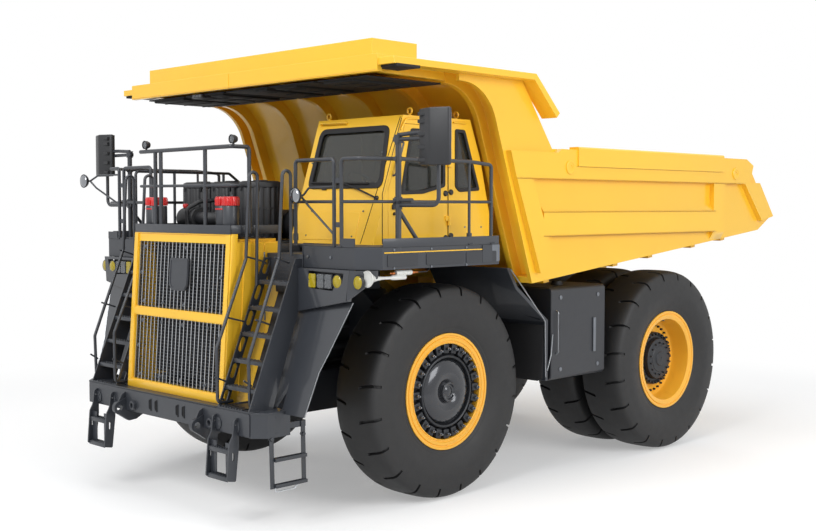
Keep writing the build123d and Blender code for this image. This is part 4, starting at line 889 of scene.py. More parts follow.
# ---------------------------------------------------------------- CAD nodes that keep their shape
HOOD_DROP = 0.19                # how far the hood's top comes down, half of it from the first height up
HOOD_DROPS = ((3.29, HOOD_DROP / 2), (3.4, HOOD_DROP))
DECK_NOTCH = ((1.01, 1.7), (-2.0, -1.36), (3.085, 3.3))
EASED_PANELS = {"hood": ("body_paint", 0.008, HOOD_DROPS),
                "cab_shell": ("body_paint", 0.006), "cab_door": ("body_paint", 0.004),
                "bed_floor": ("body_paint", 0.008), "bed_side_left": ("body_paint", 0.008),
                "bed_side_right": ("body_paint", 0.008), "bed_front_wall": ("body_paint", 0.006),
                "bed_canopy": ("body_paint", 0.008), "bed_underframe": ("body_paint", 0.005),
                "deck": ("chassis_paint", 0.006, (), DECK_NOTCH), "frame": ("chassis_paint", 0.006),
                "front_collar": ("chassis_paint", 0.008), "front_bumper": ("chassis_paint", 0.01),
                "tow_eyes": ("chassis_paint", 0.004), "deck_supports": ("chassis_paint", 0.006),
                "mudguards": ("chassis_paint", 0.006), "fuel_tank": ("tank_grey", 0.02),
                "hydraulic_tank": ("tank_grey", 0.02)}
PLAIN_NODES = {
    "radiator": "moulded_black", "engine": "engine_iron", "driveline": "engine_iron",
    "handrails": "chassis_paint", "mirrors": "chassis_paint", "cab_glass": "tinted_pane",
    "cab_controls": "moulded_black", "door_glass": "tinted_pane", "accumulators": "chassis_paint",
    "accumulator_caps": "cap_red", "air_cleaners": "moulded_black", "front_struts": "chassis_paint",
    "rear_axle": "engine_iron", "rear_suspension": "chassis_paint", "knuckle_left": "hub_iron",
    "knuckle_right": "hub_iron", "tie_rod": "hub_iron", "hoist_barrel_left": "chassis_paint",
    "hoist_barrel_right": "chassis_paint", "hoist_sleeve_left": "chrome", "hoist_sleeve_right": "chrome",
    "hoist_rod_left": "chrome", "hoist_rod_right": "chrome", "boarding_steps": "chassis_paint",
    "boarding_ladders": "chassis_paint", "radiator_grille": "bright_bar", "lamps": "lamp_lens",
    "horn": "horn_white", "cab_seat": "seat_cloth",
    "tyre_front_left": "tyre_rubber", "tyre_front_right": "tyre_rubber", "tyres_rear_left": "tyre_rubber",
    "tyres_rear_right": "tyre_rubber", "rim_front_left": "rim_paint", "rim_front_right": "rim_paint",
    "rims_rear_left": "rim_paint", "rims_rear_right": "rim_paint", "hub_front_left": "hub_iron",
    "hub_front_right": "hub_iron", "final_drive_left": "hub_iron", "final_drive_right": "hub_iron",
}


def dress_nodes():
    """Finishes on every CAD node, with eased edges on the large sheet metal."""
    for name, finish in PLAIN_NODES.items():
        data = frame["nodes"][name].data
        data.materials.clear()
        data.materials.append(MATERIALS[finish])
        data.polygons.foreach_set("use_smooth", [True] * len(data.polygons))
        data.set_sharp_from_angle(angle=math.radians(38))
    for name, values in EASED_PANELS.items():
        softened(name, *values)


# ---------------------------------------------------------------- tyres
def tyre_profile():
    """Half section of a tyre as (distance from its middle plane, radius, share of the groove's depth)."""
    w = TYRE_WIDTH / 2
    top = TYRE_RADIUS
    return [(0, top, 0), (0.06, top - 0.0005, 0), (0.1, top - 0.001, 0), (0.115, top - 0.0015, 0.9),
            (0.16, top - 0.003, 1), (0.21, top - 0.007, 1), (0.255, top - 0.014, 1), (0.295, top - 0.026, 1),
            (0.322, top - 0.044, 1), (0.336, top - 0.068, 0.9), (0.345, top - 0.1, 0.75),
            (0.351, top - 0.128, 0.55), (0.354, top - 0.14, 0), (0.358, top - 0.19, 0),
            (w - 0.004, top - 0.25, 0), (w - 0.001, top - 0.3, 0), (w - 0.0015, top - 0.35, 0),
            (0.36, top - 0.4, 0), (0.349, top - 0.45, 0), (0.333, top - 0.5, 0), (0.316, top - 0.545, 0),
            (0.3085, top - 0.558, 0), (0.3095, top - 0.566, 0), (0.303, top - 0.574, 0),
            (0.296, top - 0.592, 0), (0.292, top - 0.606, 0), (0.277, top - 0.612, 0)]


def lug_sweep(width):
    """How far round the tyre a groove has curved at this distance from the middle, in shares of a lug."""
    share = max(0.0, width - 0.1) / 0.26
    return 0.11 * (1 - share) ** 2


def tyre_lug(pitches, depth):
    """One lug of the tyre with its two half grooves, round the X axis through the origin."""
    work = bmesh.new()
    columns = [(0.0, 1, 0), (0.036, 1, 0), (0.046, 0, 0), (0.15, 0, 0), (0.27, 0, 0), (0.38, 0, 0),
               (0.454, 0, 0), (0.464, 0, 1), (0.536, 0, 1), (0.546, 0, 0), (0.62, 0, 0), (0.74, 0, 0),
               (0.86, 0, 0), (0.954, 0, 0), (0.964, 1, 0), (1.0, 1, 0)]
    half = tyre_profile()
    rows = [(-w, r, d, 0) for w, r, d in reversed(half)] + [(w, r, d, 1) for w, r, d in half[1:]]
    turn = math.tau / pitches
    grid = []
    for w, r, share, side in rows:
        line = []
        for column in columns:
            sink = depth * share * column[1 + side]
            angle = turn * (column[0] + lug_sweep(abs(w)))
            out = Vector((0, math.cos(angle), math.sin(angle)))
            normal_in = sink if abs(w) < 0.33 else sink * 0.7
            side_in = 0 if abs(w) < 0.3 else math.copysign(sink * 0.45, w)
            line.append(work.verts.new(Vector((w - side_in, 0, 0)) + out * (r - normal_in)))
        grid.append(line)
    for one, two in zip(grid, grid[1:]):
        for k in range(len(columns) - 1):
            work.faces.new((one[k], one[k + 1], two[k + 1], two[k]))
    bmesh.ops.recalc_face_normals(work, faces=work.faces)
    if work.faces[len(work.faces) // 2].normal.dot(Vector((0, math.cos(turn / 2), math.sin(turn / 2)))) < 0:
        bmesh.ops.reverse_faces(work, faces=work.faces)
    mesh = bpy.data.meshes.new("tyre_lug")
    work.to_mesh(mesh)
    work.free()
    return mesh


def build_tyres():
    """Grooved tyres with shaped sidewalls in place of the plain ones."""
    sizes = looks().tyres
    lug = tyre_lug(sizes.pitches, sizes.groove_depth)
    whole = grown_mesh(bpy.data.objects.new("carrier", lug), "Copies in a ring",
                       {"Count": sizes.pitches, "Axis": (1, 0, 0), "Join": 0.0004,
                        "Material": MATERIALS["tyre_rubber"]})
    for side, sign in SIDES:
        for name, places, node, body in (("tyre_front_" + side + "_tread", [(FRONT_WHEEL_X, 0)],
                                          "tyre_front_" + side, "wheel_front_" + side),
                                         ("tyres_rear_" + side + "_tread",
                                          [(REAR_OUTER_X, REAR_AXLE.y - FRONT_AXLE.y),
                                           (REAR_INNER_X, REAR_AXLE.y - FRONT_AXLE.y)], "tyres_rear_" + side,
                                          "wheel_rear_" + side)):
            copies = []
            for x, y in places:
                copy = whole.copy()
                copy.transform(Matrix.Translation(at(sign * x, y, TYRE_RADIUS)))
                copies.append(copy)
            joined(name, copies, "tyre_rubber", body, (node,), 50)


# ---------------------------------------------------------------- wheels
def build_rims():
    """Rims with their flange and lock ring groove, in place of the plain rims."""
    for side, sign in SIDES:
        flip = sign < 0
        work = Work()
        rim = [(-0.302, 0.6), (-0.302, 0.731), (-0.279, 0.731), (-0.277, 0.624), (0.277, 0.624),
               (0.279, 0.731), (0.3, 0.731), (0.302, 0.722), (0.3, 0.703), (0.288, 0.697), (0.286, 0.684),
               (0.298, 0.676), (0.3, 0.64), (0.29, 0.632), (0.288, 0.622), (0.296, 0.616), (0.292, 0.602),
               (0.2, 0.6)]
        work.turned(rim + [rim[0]], (sign * FRONT_WHEEL_X, 0, TYRE_RADIUS), "X", 96, flip)
        work.piece("rim_front_" + side + "_flange", "rim_paint", "wheel_front_" + side,
                   ("rim_front_" + side,), 30)
        y = REAR_AXLE.y - FRONT_AXLE.y
        work = Work()
        outer = [(0.279, 0.731), (0.3, 0.731), (0.302, 0.722), (0.3, 0.703), (0.288, 0.697), (0.286, 0.684),
                 (0.298, 0.676), (0.296, 0.64), (0.28, 0.612), (0.14, 0.602), (0.03, 0.598), (0.005, 0.585),
                 (-0.004, 0.56), (-0.006, 0.42), (-0.006, 0.402), (-0.03, 0.402), (-0.04, 0.6),
                 (-0.277, 0.602), (-0.277, 0.624), (-0.279, 0.731), (-0.302, 0.731), (-0.302, 0.6)]
        inner = [(-0.302, 0.6), (-0.302, 0.731), (-0.279, 0.731), (-0.277, 0.624), (0.277, 0.624),
                 (0.279, 0.731), (0.302, 0.731), (0.302, 0.6)]
        work.turned(outer[:-4] + [(-0.277, 0.624), (0.277, 0.624), outer[0]],
                    (sign * REAR_OUTER_X, y, TYRE_RADIUS), "X", 96, flip)
        work.turned([(-0.302, 0.603), (-0.302, 0.731), (-0.279, 0.731), (-0.277, 0.61), (-0.302, 0.603)],
                    (sign * REAR_OUTER_X, y, TYRE_RADIUS), "X", 96, flip)
        work.turned(inner + [inner[0]], (sign * REAR_INNER_X, y, TYRE_RADIUS), "X", 96, flip)
        work.turned(band(0.302, REAR_OUTER_X - REAR_INNER_X - 0.302, 0.601, 0.621),
                    (sign * REAR_INNER_X, y, TYRE_RADIUS), "X", 96, flip)
        work.turned(band(-0.02, 0.02, 0.472, 0.6),
                    (sign * REAR_INNER_X, y, TYRE_RADIUS), "X", 64, flip)
        work.piece("rims_rear_" + side + "_dish", "rim_paint", "wheel_rear_" + side, ("rims_rear_" + side,),
                   30)


def build_hubs():
    """Front hubs with rim clamps and a dished cover, rear covers with their bolts."""
    sizes = looks().hubs
    rear_y = REAR_AXLE.y - FRONT_AXLE.y
    for side, sign in SIDES:
        flip = sign < 0
        centre = (sign * FRONT_WHEEL_X, 0, TYRE_RADIUS)
        body = "wheel_front_" + side
        work = Work()
        hub = [(-0.288, 0.155), (-0.288, 0.328), (-0.12, 0.328), (0.06, 0.596), (0.208, 0.596),
               (0.208, 0.47), (0.255, 0.462), (0.286, 0.452), (0.293, 0.44), (0.286, 0.425), (0.24, 0.415),
               (0.23, 0.402), (0.24, 0.39), (0.21, 0.156)]
        work.turned(hub, centre, "X", 96, flip)
        work.piece("hub_front_" + side + "_drum", "hub_iron", body, ("hub_front_" + side,), 30)
        work = Work()
        outer = (sign * (FRONT_WHEEL_X + 0.09), 0, TYRE_RADIUS)
        cover = [(0.148, 0.402), (0.168, 0.398), (0.186, 0.382), (0.206, 0.345), (0.222, 0.29),
                 (0.226, 0.23), (0.216, 0.17), (0.2, 0.145), (0.196, 0.137), (0.215, 0.128), (0.238, 0.122),
                 (0.246, 0.112), (0.24, 0.098), (0.222, 0.088), (0.216, 0.07), (0.224, 0.05), (0.232, 0.03),
                 (0.234, 0)]
        work.turned(cover, outer, "X", 96, flip)
        work.piece("hub_front_" + side + "_cover", "cover_gloss", body, (), 30)
        reach = sign * 0.118
        work = Work()
        work.box(sorted((reach, reach + sign * 0.075)), (-0.047, 0.047), (0.478, 0.594), 0.012)
        ring_of("hub_front_" + side + "_clamps", work, sizes.clamps, outer, "hub_iron", body)
        work = Work()
        work.rod((reach + sign * 0.06, 0, 0.537), (reach + sign * 0.118, 0, 0.537), 0.021, 6, 0.003)
        work.rod((reach + sign * 0.1, 0, 0.537), (reach + sign * 0.142, 0, 0.537), 0.0125, 12, 0.003)
        ring_of("hub_front_" + side + "_nuts", work, sizes.clamps, outer, "bright_bolt", body)
        centre = (sign * REAR_OUTER_X, rear_y, TYRE_RADIUS)
        body = "wheel_rear_" + side
        work = Work()
        drive = [(-1.158, 0.222), (-1.158, 0.448), (-1.118, 0.468), (-0.06, 0.468), (-0.042, 0.4),
                 (0.07, 0.398), (0.088, 0.392), (0.09, 0.352), (0.075, 0.345), (0.078, 0.318), (0.15, 0.302),
                 (0.16, 0.286), (0.164, 0.2), (0.172, 0.19), (0.174, 0.11), (0.186, 0.1), (0.188, 0.03),
                 (0.182, 0.024), (0.182, 0)]
        work.turned(drive, centre, "X", 96, flip)
        work.piece("final_drive_" + side + "_case", "hub_iron", body, ("final_drive_" + side,), 30)
        for name, radius, total, start, end, size in (
                ("flange_bolts", 0.372, sizes.bolts, 0.084, 0.118, 0.017),
                ("cover_bolts", 0.243, sizes.bolts // 2, 0.158, 0.188, 0.014),
                ("rim_bolts", 0.5, sizes.bolts + 4, -0.008, 0.028, 0.018)):
            work = Work()
            work.rod((sign * start, 0, radius), (sign * end, 0, radius), size, 6, 0.002)
            ring_of("final_drive_" + side + "_" + name, work, total, centre, "hub_iron", body)
        valve = [[(sign * (REAR_OUTER_X + 0.01), rear_y, TYRE_RADIUS + 0.55),
                  (sign * (REAR_OUTER_X + 0.1), rear_y, TYRE_RADIUS + 0.57),
                  (sign * (REAR_OUTER_X + 0.24), rear_y, TYRE_RADIUS + 0.585)]]
        tubes("rims_rear_" + side + "_valve", valve, 0.009, "bright_bolt", body, 0.03, 8)


# ---------------------------------------------------------------- places of the fittings
FOOT = BUMPER_HIGH.z
HOOD_TOP = HOOD_HIGH.z - HOOD_DROP
HOOD_HALF = HOOD_HIGH.x
HOOD_FOOT_Y = -2.547
HOOD_RAKE = 0.0681
BUMPER_FACE = -2.69
LADDER_FOOT_Y = -2.68
LADDER_LEAN = 0.401
LADDER_X = (1.12, 1.7)
LADDER_DEPTH = 0.13
HAND_X = 1.59
FIRST_TREAD = FOOT + 0.245
TREAD_RISE = 0.3
DECK_FRONT = -1.88
DECK_SIDE = 2.83
RAIL_TOP = 4.19
RAIL_MID = 3.71
POST_TUBE = 0.023
GATE_X = (2.222, 2.346)
MIRROR_POST = (2.8, -1.4)
CONVEX_MIRRORS = ((1.72, -2.01, 3.778), (-3.08, -1.99, 4.02))
TOW_X = 0.85
BUMPER_SLOTS = (-0.28, -0.15, 0.31, 0.44)


def hood_face(z):
    """Place of the hood's raked front at height z."""
    return HOOD_FOOT_Y + (z - FOOT) * HOOD_RAKE


def ladder_face(z):
    """Front edge of the ladders at height z."""
    return LADDER_FOOT_Y + (z - FOOT) * LADDER_LEAN


def raked(work):
    """Leans what was drawn upright at the hood's foot."""
    for vert in work.mesh.verts:
        vert.co.y += (vert.co.z - FOOT) * HOOD_RAKE
    return work


def slot_loop(centre, along, half_length, half_width, steps=6):
    """Loop of a slot with round ends."""
    along = Vector(along).normalized()
    across = Vector((-along.y, along.x))
    loop = []
    for end, turn in ((1, -90), (-1, 90)):
        hub = Vector(centre) + along * end * (half_length - half_width)
        for k in range(steps + 1):
            angle = math.radians(turn + 180 * k / steps)
            loop.append(tuple(hub + (along * math.cos(angle) + across * math.sin(angle)) * half_width))
    return loop


def ring_loop(centre, radius, steps=20):
    """Loop of a round hole."""
    return [(centre[0] + radius * math.cos(math.tau * k / steps),
             centre[1] + radius * math.sin(math.tau * k / steps)) for k in range(steps)]


# ---------------------------------------------------------------- hood
GRILLE_OPENINGS = ((1.45, 2.27), (2.38, 3.215))
GRILLE_HALF = 0.94


def build_grille():
    """Upright bars and cross wires in both openings, with their clips, and the cooler's fins behind."""
    sizes = looks().grille
    step = (2 * GRILLE_HALF - 0.013) / (sizes.bars - 1)
    for index, (low, high) in enumerate(GRILLE_OPENINGS):
        name = ("radiator_grille_lower", "radiator_grille_upper")[index]
        y = HOOD_FOOT_Y + 0.024
        work = Work()
        work.box((-GRILLE_HALF, -GRILLE_HALF + 0.013), (y, y + 0.012), (low - 0.004, high + 0.004), 0.003)
        row_of(name + "_bars", raked(work), sizes.bars, (step, 0, 0), "bright_bar", "chassis",
               ("radiator_grille",) if index else ())
        wires = round((high - low) / sizes.gap)
        rise = (high - low - 0.03) / (wires - 1)
        work = Work()
        work.rod((-GRILLE_HALF, y + 0.015 + (low + 0.015 - FOOT) * HOOD_RAKE, low + 0.015),
                 (GRILLE_HALF, y + 0.015 + (low + 0.015 - FOOT) * HOOD_RAKE, low + 0.015), 0.0032, 6)
        row_of(name + "_wires", work, wires, (0, rise * HOOD_RAKE, rise), "bright_bolt")
        work = Work()
        for x in (-GRILLE_HALF + 0.01, GRILLE_HALF - 0.03):
            work.box((x, x + 0.02), (y + 0.02, y + 0.034), (low, high), 0.002)
        for z in (low, high - 0.02):
            work.box((-GRILLE_HALF, GRILLE_HALF), (y + 0.02, y + 0.034), (z, z + 0.02), 0.002)
        raked(work).piece(name + "_frame", "moulded_black")
        work = Work()
        for x, share in ((-0.8, 0.08), (-0.36, 0.08), (0.1, 0.08), (0.62, 0.08), (-0.88, 0.52), (0.84, 0.52),
                         (-0.8, 0.92), (-0.36, 0.92), (0.1, 0.92), (0.62, 0.92)):
            z = low + share * (high - low)
            work.turned([(-0.012, 0.0), (-0.012, 0.011), (-0.004, 0.011), (-0.004, 0.021), (0.0, 0.023),
                         (0.014, 0.0)], (x, y, z), "Y", 12)
        raked(work).piece(name + "_clips", "bright_bolt")
    work = Work()
    work.box((-0.862, -0.858), (-2.216, -2.2), (1.56, 3.22), 0)
    row_of("radiator_fins", work, 87, (0.02, 0, 0), "engine_iron")
    shape = [(-0.19, 3.02), (0.19, 3.02), (0.2, 2.98), (0.2, 2.7), (0.14, 2.62), (-0.14, 2.62), (-0.2, 2.7),
             (-0.2, 2.98)]
    plates = []
    for loops, low, high in (([rounded(shape, 0.02)], -0.006, 0.012),
                             ([rounded(grown(shape, -0.012), 0.02), rounded(grown(shape, -0.03), 0.02)],
                              -0.012, -0.002)):
        plate = outlined(loops, "Y", hood_face(2.8) + low, hood_face(2.8) + high, 0.002)
        plate.transform(Matrix.Translation(-at(0, hood_face(2.8), 2.8)))
        plate.transform(Matrix.Rotation(-math.atan(HOOD_RAKE), 4, "X"))
        plate.transform(Matrix.Translation(at(0, hood_face(2.8), 2.8)))
        plates.append(plate)
    joined("radiator_grille_plate", plates, "chassis_paint")


def build_hood_trim():
    """Dark kick plate and top plate on the hood, corner returns, side doors, latches and hinges."""
    work = Work()
    top = HOOD_TOP
    front = -2.416
    work.slab("X", [(front, top - 0.006), (front, top + 0.1), (front + 0.012, top + 0.1),
                    (front + 0.016, top + 0.012), (-1.86, top + 0.012), (-1.86, top), (front + 0.014, top)],
              -HOOD_HALF - 0.004, HOOD_HALF + 0.004, 0.002)
    for sign in (-1, 1):
        x = span(sign, HOOD_HALF - 0.008, HOOD_HALF + 0.004)
        work.box(x, (front, -1.7), (top - 0.002, top + 0.1), 0.002)
    work.piece("hood_kick_plate", "chassis_paint")
    work = Work()
    work.box((-HOOD_HALF + 0.02, HOOD_HALF - 0.02), (front + 0.016, -1.7), (top - 0.001, top + 0.008), 0.002)
    work.piece("hood_walkway", "walkway_steel")
    work = Work()
    for z0, z1 in ((FOOT + 0.01, 1.435), (2.285, 2.365), (3.325, top - 0.02)):
        work.box((-HOOD_HALF + 0.004, HOOD_HALF - 0.004), (-2.555, -2.54), (z0, z1), 0.004)
    for sign in (-1, 1):
        work.box(span(sign, HOOD_HALF - 0.083, HOOD_HALF - 0.004), (-2.5545, -2.54),
                 (FOOT + 0.01, top - 0.02), 0.004)
        work.slab("Z", [(sign * (HOOD_HALF - 0.002), -2.54), (sign * (HOOD_HALF + 0.006), -2.53),
                        (sign * (HOOD_HALF + 0.006), -2.45), (sign * (HOOD_HALF - 0.002), -2.45)],
                  FOOT + 0.004, top - 0.004, 0.002)
    raked(work).piece("hood_frame_bands", "body_paint", smooth=30)
    doors = [rounded([(-2.33, 1.4), (-2.21, 3.22), (-1.94, 3.22), (-1.94, 1.4)], 0.04),
             rounded([(-1.92, 1.4), (-1.92, 3.22), (-1.73, 3.22), (-1.73, 1.4)], 0.04)]
    panels = []
    for door in doors:
        panel = outlined([door], "X", HOOD_HALF - 0.004, HOOD_HALF + 0.01, 0.003)
        panels += [panel, flipped(panel)]
    joined("hood_side_doors", panels, "body_paint")
    work = Work()
    for z in (1.62, 2.34, 3.06):
        work.rod((HOOD_HALF + 0.006, -1.93, z - 0.05), (HOOD_HALF + 0.006, -1.93, z + 0.05), 0.012, 12,
                 0.002)
        work.turned([(0.0, 0.0), (0.0, 0.022), (0.006, 0.022), (0.012, 0.014), (0.012, 0.0)],
                    (HOOD_HALF + 0.008, -1.76, z), "X", 20)
    work.mirror()
    work.piece("hood_door_latches", "bright_bolt")


# ---------------------------------------------------------------- ladders and steps
def tread(work, z, front, back, low_x, high_x, lip=0.045):
    """Channel tread with a turned-down front."""
    work.slab("X", [(front, z), (back, z), (back, z - 0.03), (back - 0.006, z - 0.03),
                    (back - 0.006, z - 0.006), (front + 0.006, z - 0.006), (front + 0.006, z - lip),
                    (front, z - lip)], low_x, high_x, 0.0015)


def grip(work, z, front, back, low_x, high_x, total=9):
    """Two rows of raised buttons on a tread."""
    for i in range(total):
        x = low_x + (high_x - low_x) * (i + 0.5) / total
        for y in (front + 0.022, back - 0.022):
            work.turned([(0.0, 0.011), (0.007, 0.009), (0.007, 0.0)], (x, y, z), "Z", 10)


def build_ladders():
    """Slanting ladders with slotted sides, gripped treads and hooped hand tubes."""
    sizes = looks().ladders
    low_x, high_x = LADDER_X
    reach = DECK_FRONT - 0.005
    meet = FOOT + (reach + 2.68 - LADDER_DEPTH) / LADDER_LEAN
    head = 3.05
    edge = [(ladder_face(FOOT), FOOT), (ladder_face(FOOT) + LADDER_DEPTH, FOOT), (reach, meet),
            (reach, head), (ladder_face(head), head)]
    slots = []
    for k in range(-1, sizes.treads):
        z = FIRST_TREAD + (k + 0.5) * TREAD_RISE + 0.005
        slots.append(slot_loop((ladder_face(z) + LADDER_DEPTH / 2, z), (LADDER_LEAN, 1), 0.092, 0.034))
    sides = []
    broad = [(ladder_face(FOOT), FOOT), (ladder_face(FOOT) + 0.34, FOOT), (-1.9, 2.6), (reach, head),
             (ladder_face(head), head)]
    for x, loops in ((low_x, [edge, *slots]), (high_x, [broad])):
        plate = outlined(loops, "X", x - 0.009, x + 0.009, 0.002)
        sides += [plate, flipped(plate)]
    joined("boarding_ladders_sides", sides, "panel_gloss", "chassis", ("boarding_ladders",))
    work = Work()
    work.box((low_x - 0.06, high_x + 0.02), (reach - 0.012, reach + 0.006), (2.77, 3.1), 0.003)
    work.box((1.03, high_x + 0.01), (reach, -1.352), (3.088, 3.1), 0.002)
    for x in (1.012, high_x + 0.004):
        work.box((x - 0.006, x + 0.006), (reach, -1.352), (3.09, 3.2), 0.002)
    work.mirror()
    work.piece("boarding_ladders_landing", "walkway_steel")
    for sign in (1, -1):
        work = Work()
        front = ladder_face(FIRST_TREAD) + 0.004
        spread = span(sign, low_x + 0.009, high_x - 0.009)
        tread(work, FIRST_TREAD, front, front + LADDER_DEPTH - 0.012, *spread)
        grip(work, FIRST_TREAD, front, front + LADDER_DEPTH - 0.012, *spread)
        row_of("boarding_ladders_treads_" + ("left" if sign > 0 else "right"), work, sizes.treads,
               (0, TREAD_RISE * LADDER_LEAN, TREAD_RISE), "chassis_paint")
    hoops = [[(low_x, -2.47, 1.385), (low_x, -2.683, 1.385), (low_x, -2.687, 2.03), (low_x, -2.262, 3.04),
              (low_x, -2.235, 3.56), (low_x, -2.205, 4.06), (low_x, -2.085, 4.06), (low_x, -2.108, 2.72)]]
    for x in (HAND_X, -high_x - 0.08):
        hoops.append([(x, -2.25, 1.36), (x, -2.573, 1.36), (x, -2.59, 1.93), (x, -2.143, 3.07),
                      (x, -2.115, 3.56), (x, -2.085, 4.07), (x, -1.965, 4.07), (x, -1.965, 3.08)])
    hoops.append([(-place[0], place[1], place[2]) for place in hoops[0]])
    tubes("boarding_ladders_hand_tubes", hoops, sizes.tube, "chassis_paint", bend=0.062)
    stays = []
    for x, shift in ((low_x, 0.0), (HAND_X, 0.1)):
        for z in (1.62, 2.3, 3.0):
            y = ladder_face(z)
            stays.append([(x, y - 0.25 + shift * 0.6 + (0.1 if z < 2 else 0), z + 0.07), (x, y + 0.02, z)])
    stays += [[(-low_x if path[0][0] < HAND_X else -high_x - 0.08, y, z) for x, y, z in path]
              for path in stays]
    tubes("boarding_ladders_stays", stays, 0.011, "chassis_paint", sides=8)
    work = Work()
    for x in LADDER_X:
        for z in (1.42, 2.98):
            work.turned(disc(0.009, 0.018, 0.014),
                        (x, ladder_face(z) + 0.04, z), "X", 6)
    work.box((low_x - 0.03, high_x + 0.03), (BUMPER_FACE, -2.54), (FOOT - 0.001, FOOT + 0.012), 0.003)
    for i in range(9):
        x = low_x + 0.02 + i * 0.052
        work.box((x, x + 0.022), (LADDER_FOOT_Y, -2.56), (FOOT + 0.008, FOOT + 0.026), 0.004)
    work.mirror()
    work.piece("boarding_ladders_feet", "chassis_paint")


def build_steps():
    """Hanging steps below the bumper, with wide cut-out sides, and the side ladder."""
    front = BUMPER_FACE
    side = [(front - 0.004, 1.27), (front - 0.062, 1.25), (front - 0.085, 1.07), (front - 0.13, 0.99),
            (front - 0.165, 0.565), (front - 0.05, 0.545), (front - 0.004, 0.95)]
    plates = []
    for x in (1.12, 1.53):
        plate = outlined([rounded(side, 0.02), ring_loop((front - 0.045, 1.19), 0.012, 12),
                          slot_loop((front - 0.088, 0.83), (0.03, 1), 0.05, 0.02)], "X", x - 0.011,
                         x + 0.011, 0.002)
        plates += [plate, flipped(plate)]
    joined("boarding_steps_sides", plates, "chassis_paint", "chassis", ("boarding_steps",))
    work = Work()
    for x in (1.18, 1.47):
        work.slab("Y", [(x - 0.055, 0.56), (x + 0.055, 0.56), (x + 0.06, 0.98), (x - 0.06, 0.98)],
                  front - 0.098, front - 0.088, 0.002)
    for x in (1.15, 1.5):
        work.turned([(-0.004, 0.0), (-0.004, 0.075), (0.014, 0.075), (0.018, 0.068), (0.018, 0.0)],
                    (x, front - 0.01, 1.16), "Y", 24, True)
        for turn in range(4):
            a = math.tau * (turn + 0.5) / 4
            work.turned(stud(0.012, 0.024, 0.012, 0.028),
                        (x + 0.05 * math.cos(a), front - 0.01, 1.16 + 0.05 * math.sin(a)), "Y", 6, True)
    work.mirror()
    work.piece("boarding_steps_brackets", "chassis_paint")
    for name, z, y in (("low", 0.6, front - 0.15), ("high", 0.91, front - 0.132)):
        work = Work()
        tread(work, z, y, y + 0.115, 1.131, 1.519, 0.05)
        grip(work, z, y, y + 0.115, 1.15, 1.5, 8)
        for i in range(7):
            x = 1.17 + i * 0.052
            work.box((x, x + 0.012), (y + 0.03, y + 0.085), (z, z + 0.009), 0.002)
        work.mirror()
        work.piece("boarding_steps_tread_" + name, "chassis_paint")
    work = Work()
    for y, top in ((-2.5, 1.07), (-2.04, 1.2)):
        work.slab("X", [(y - 0.028, top), (y + 0.028, top), (y + 0.043, 0.475), (y - 0.013, 0.475)], 1.872,
                  1.888, 0.002)
    for z, lean in ((0.5, 0.014), (0.8, 0.006)):
        work.box((1.845, 1.915), (-2.47 + lean, -2.01 + lean), (z - 0.02, z + 0.02), 0.004)
    for y in (-2.5, -2.04):
        work.rod((1.85, y, 1.045), (1.91, y, 1.045), 0.022, 16, 0.003)
    work.box((1.8, 1.872), (-2.26, -1.99), (1.13, 1.2), 0.006)
    work.piece("side_ladder", "chassis_paint")
    tubes("side_ladder_pull",
          [[(1.88, -2.45, 0.48), (1.88, -2.43, 0.435), (1.88, -2.16, 0.435), (1.88, -2.12, 0.48)]], 0.008,
          "bright_bar", bend=0.02, sides=8)


# ---------------------------------------------------------------- bumper
def build_bumper():
    """Slotted face plate, ring bosses, edge lip, grip pads and tow plates' gussets."""
    y = BUMPER_FACE
    low, high = BUMPER_LOW.z, BUMPER_HIGH.z
    holes = []
    for x in BUMPER_SLOTS:
        holes.append(slot_loop((x, 1.2), (0, 1), 0.066, 0.026))
    face = outlined([rounded([(-1.74, low + 0.012), (1.74, low + 0.012), (1.74, high - 0.012),
                              (-1.74, high - 0.012)], 0.03), *holes], "Y", y - 0.014, y + 0.004, 0.003)
    joined("front_bumper_face", [face], "chassis_paint")
    # near-black boxes in each slot and a strip beside it: painted shade in the slots' recess
    work = Work()
    for x in BUMPER_SLOTS:
        work.box((x - 0.028, x + 0.028), (y - 0.0035, y - 0.0005), (1.132, 1.268), 0)
        work.box((x + 0.028, x + 0.036), (y - 0.024, y - 0.01), (1.125, 1.275), 0.002)
    work.piece("front_bumper_slot_shade", "shade_black")
    work = Work()
    for x in (-0.64, 1.03):
        work.turned([(0.0, 0.028), (0.0, 0.058), (0.042, 0.055), (0.045, 0.05), (0.045, 0.034),
                     (0.03, 0.028), (0.0, 0.028)], (x, y - 0.012, 1.15), "Y", 32, True)
    for x in (-TOW_X, TOW_X):
        work.slab("X", [(y - 0.012, 1.3), (y - 0.07, 1.27), (y - 0.11, 1.19), (y - 0.012, 1.19)], x - 0.01,
                  x + 0.01, 0.003)
    work.piece("front_bumper_bosses", "chassis_paint")
    work = Work()
    for sign in (-1, 1):
        work.slab("Z", [(sign * 1.74, y - 0.001), (sign * 1.772, y - 0.001), (sign * 1.904, y + 0.128),
                        (sign * 1.904, -2.26), (sign * 1.86, -2.26), (sign * 1.86, y + 0.13)],
                  high - 0.012, high + 0.006, 0.003)
        for x, z in ((1.8, high - 0.05), (1.8, low + 0.05)):
            work.turned(stud(0.02, 0.012, 0.017, 0.014), (sign * (x + 0.09), y + 0.25, z), "X", 6,
                        sign < 0)
    work.box((-1.1, 1.1), (y - 0.012, y + 0.02), (high - 0.004, high + 0.008), 0.003)
    work.piece("front_bumper_edges", "chassis_paint")


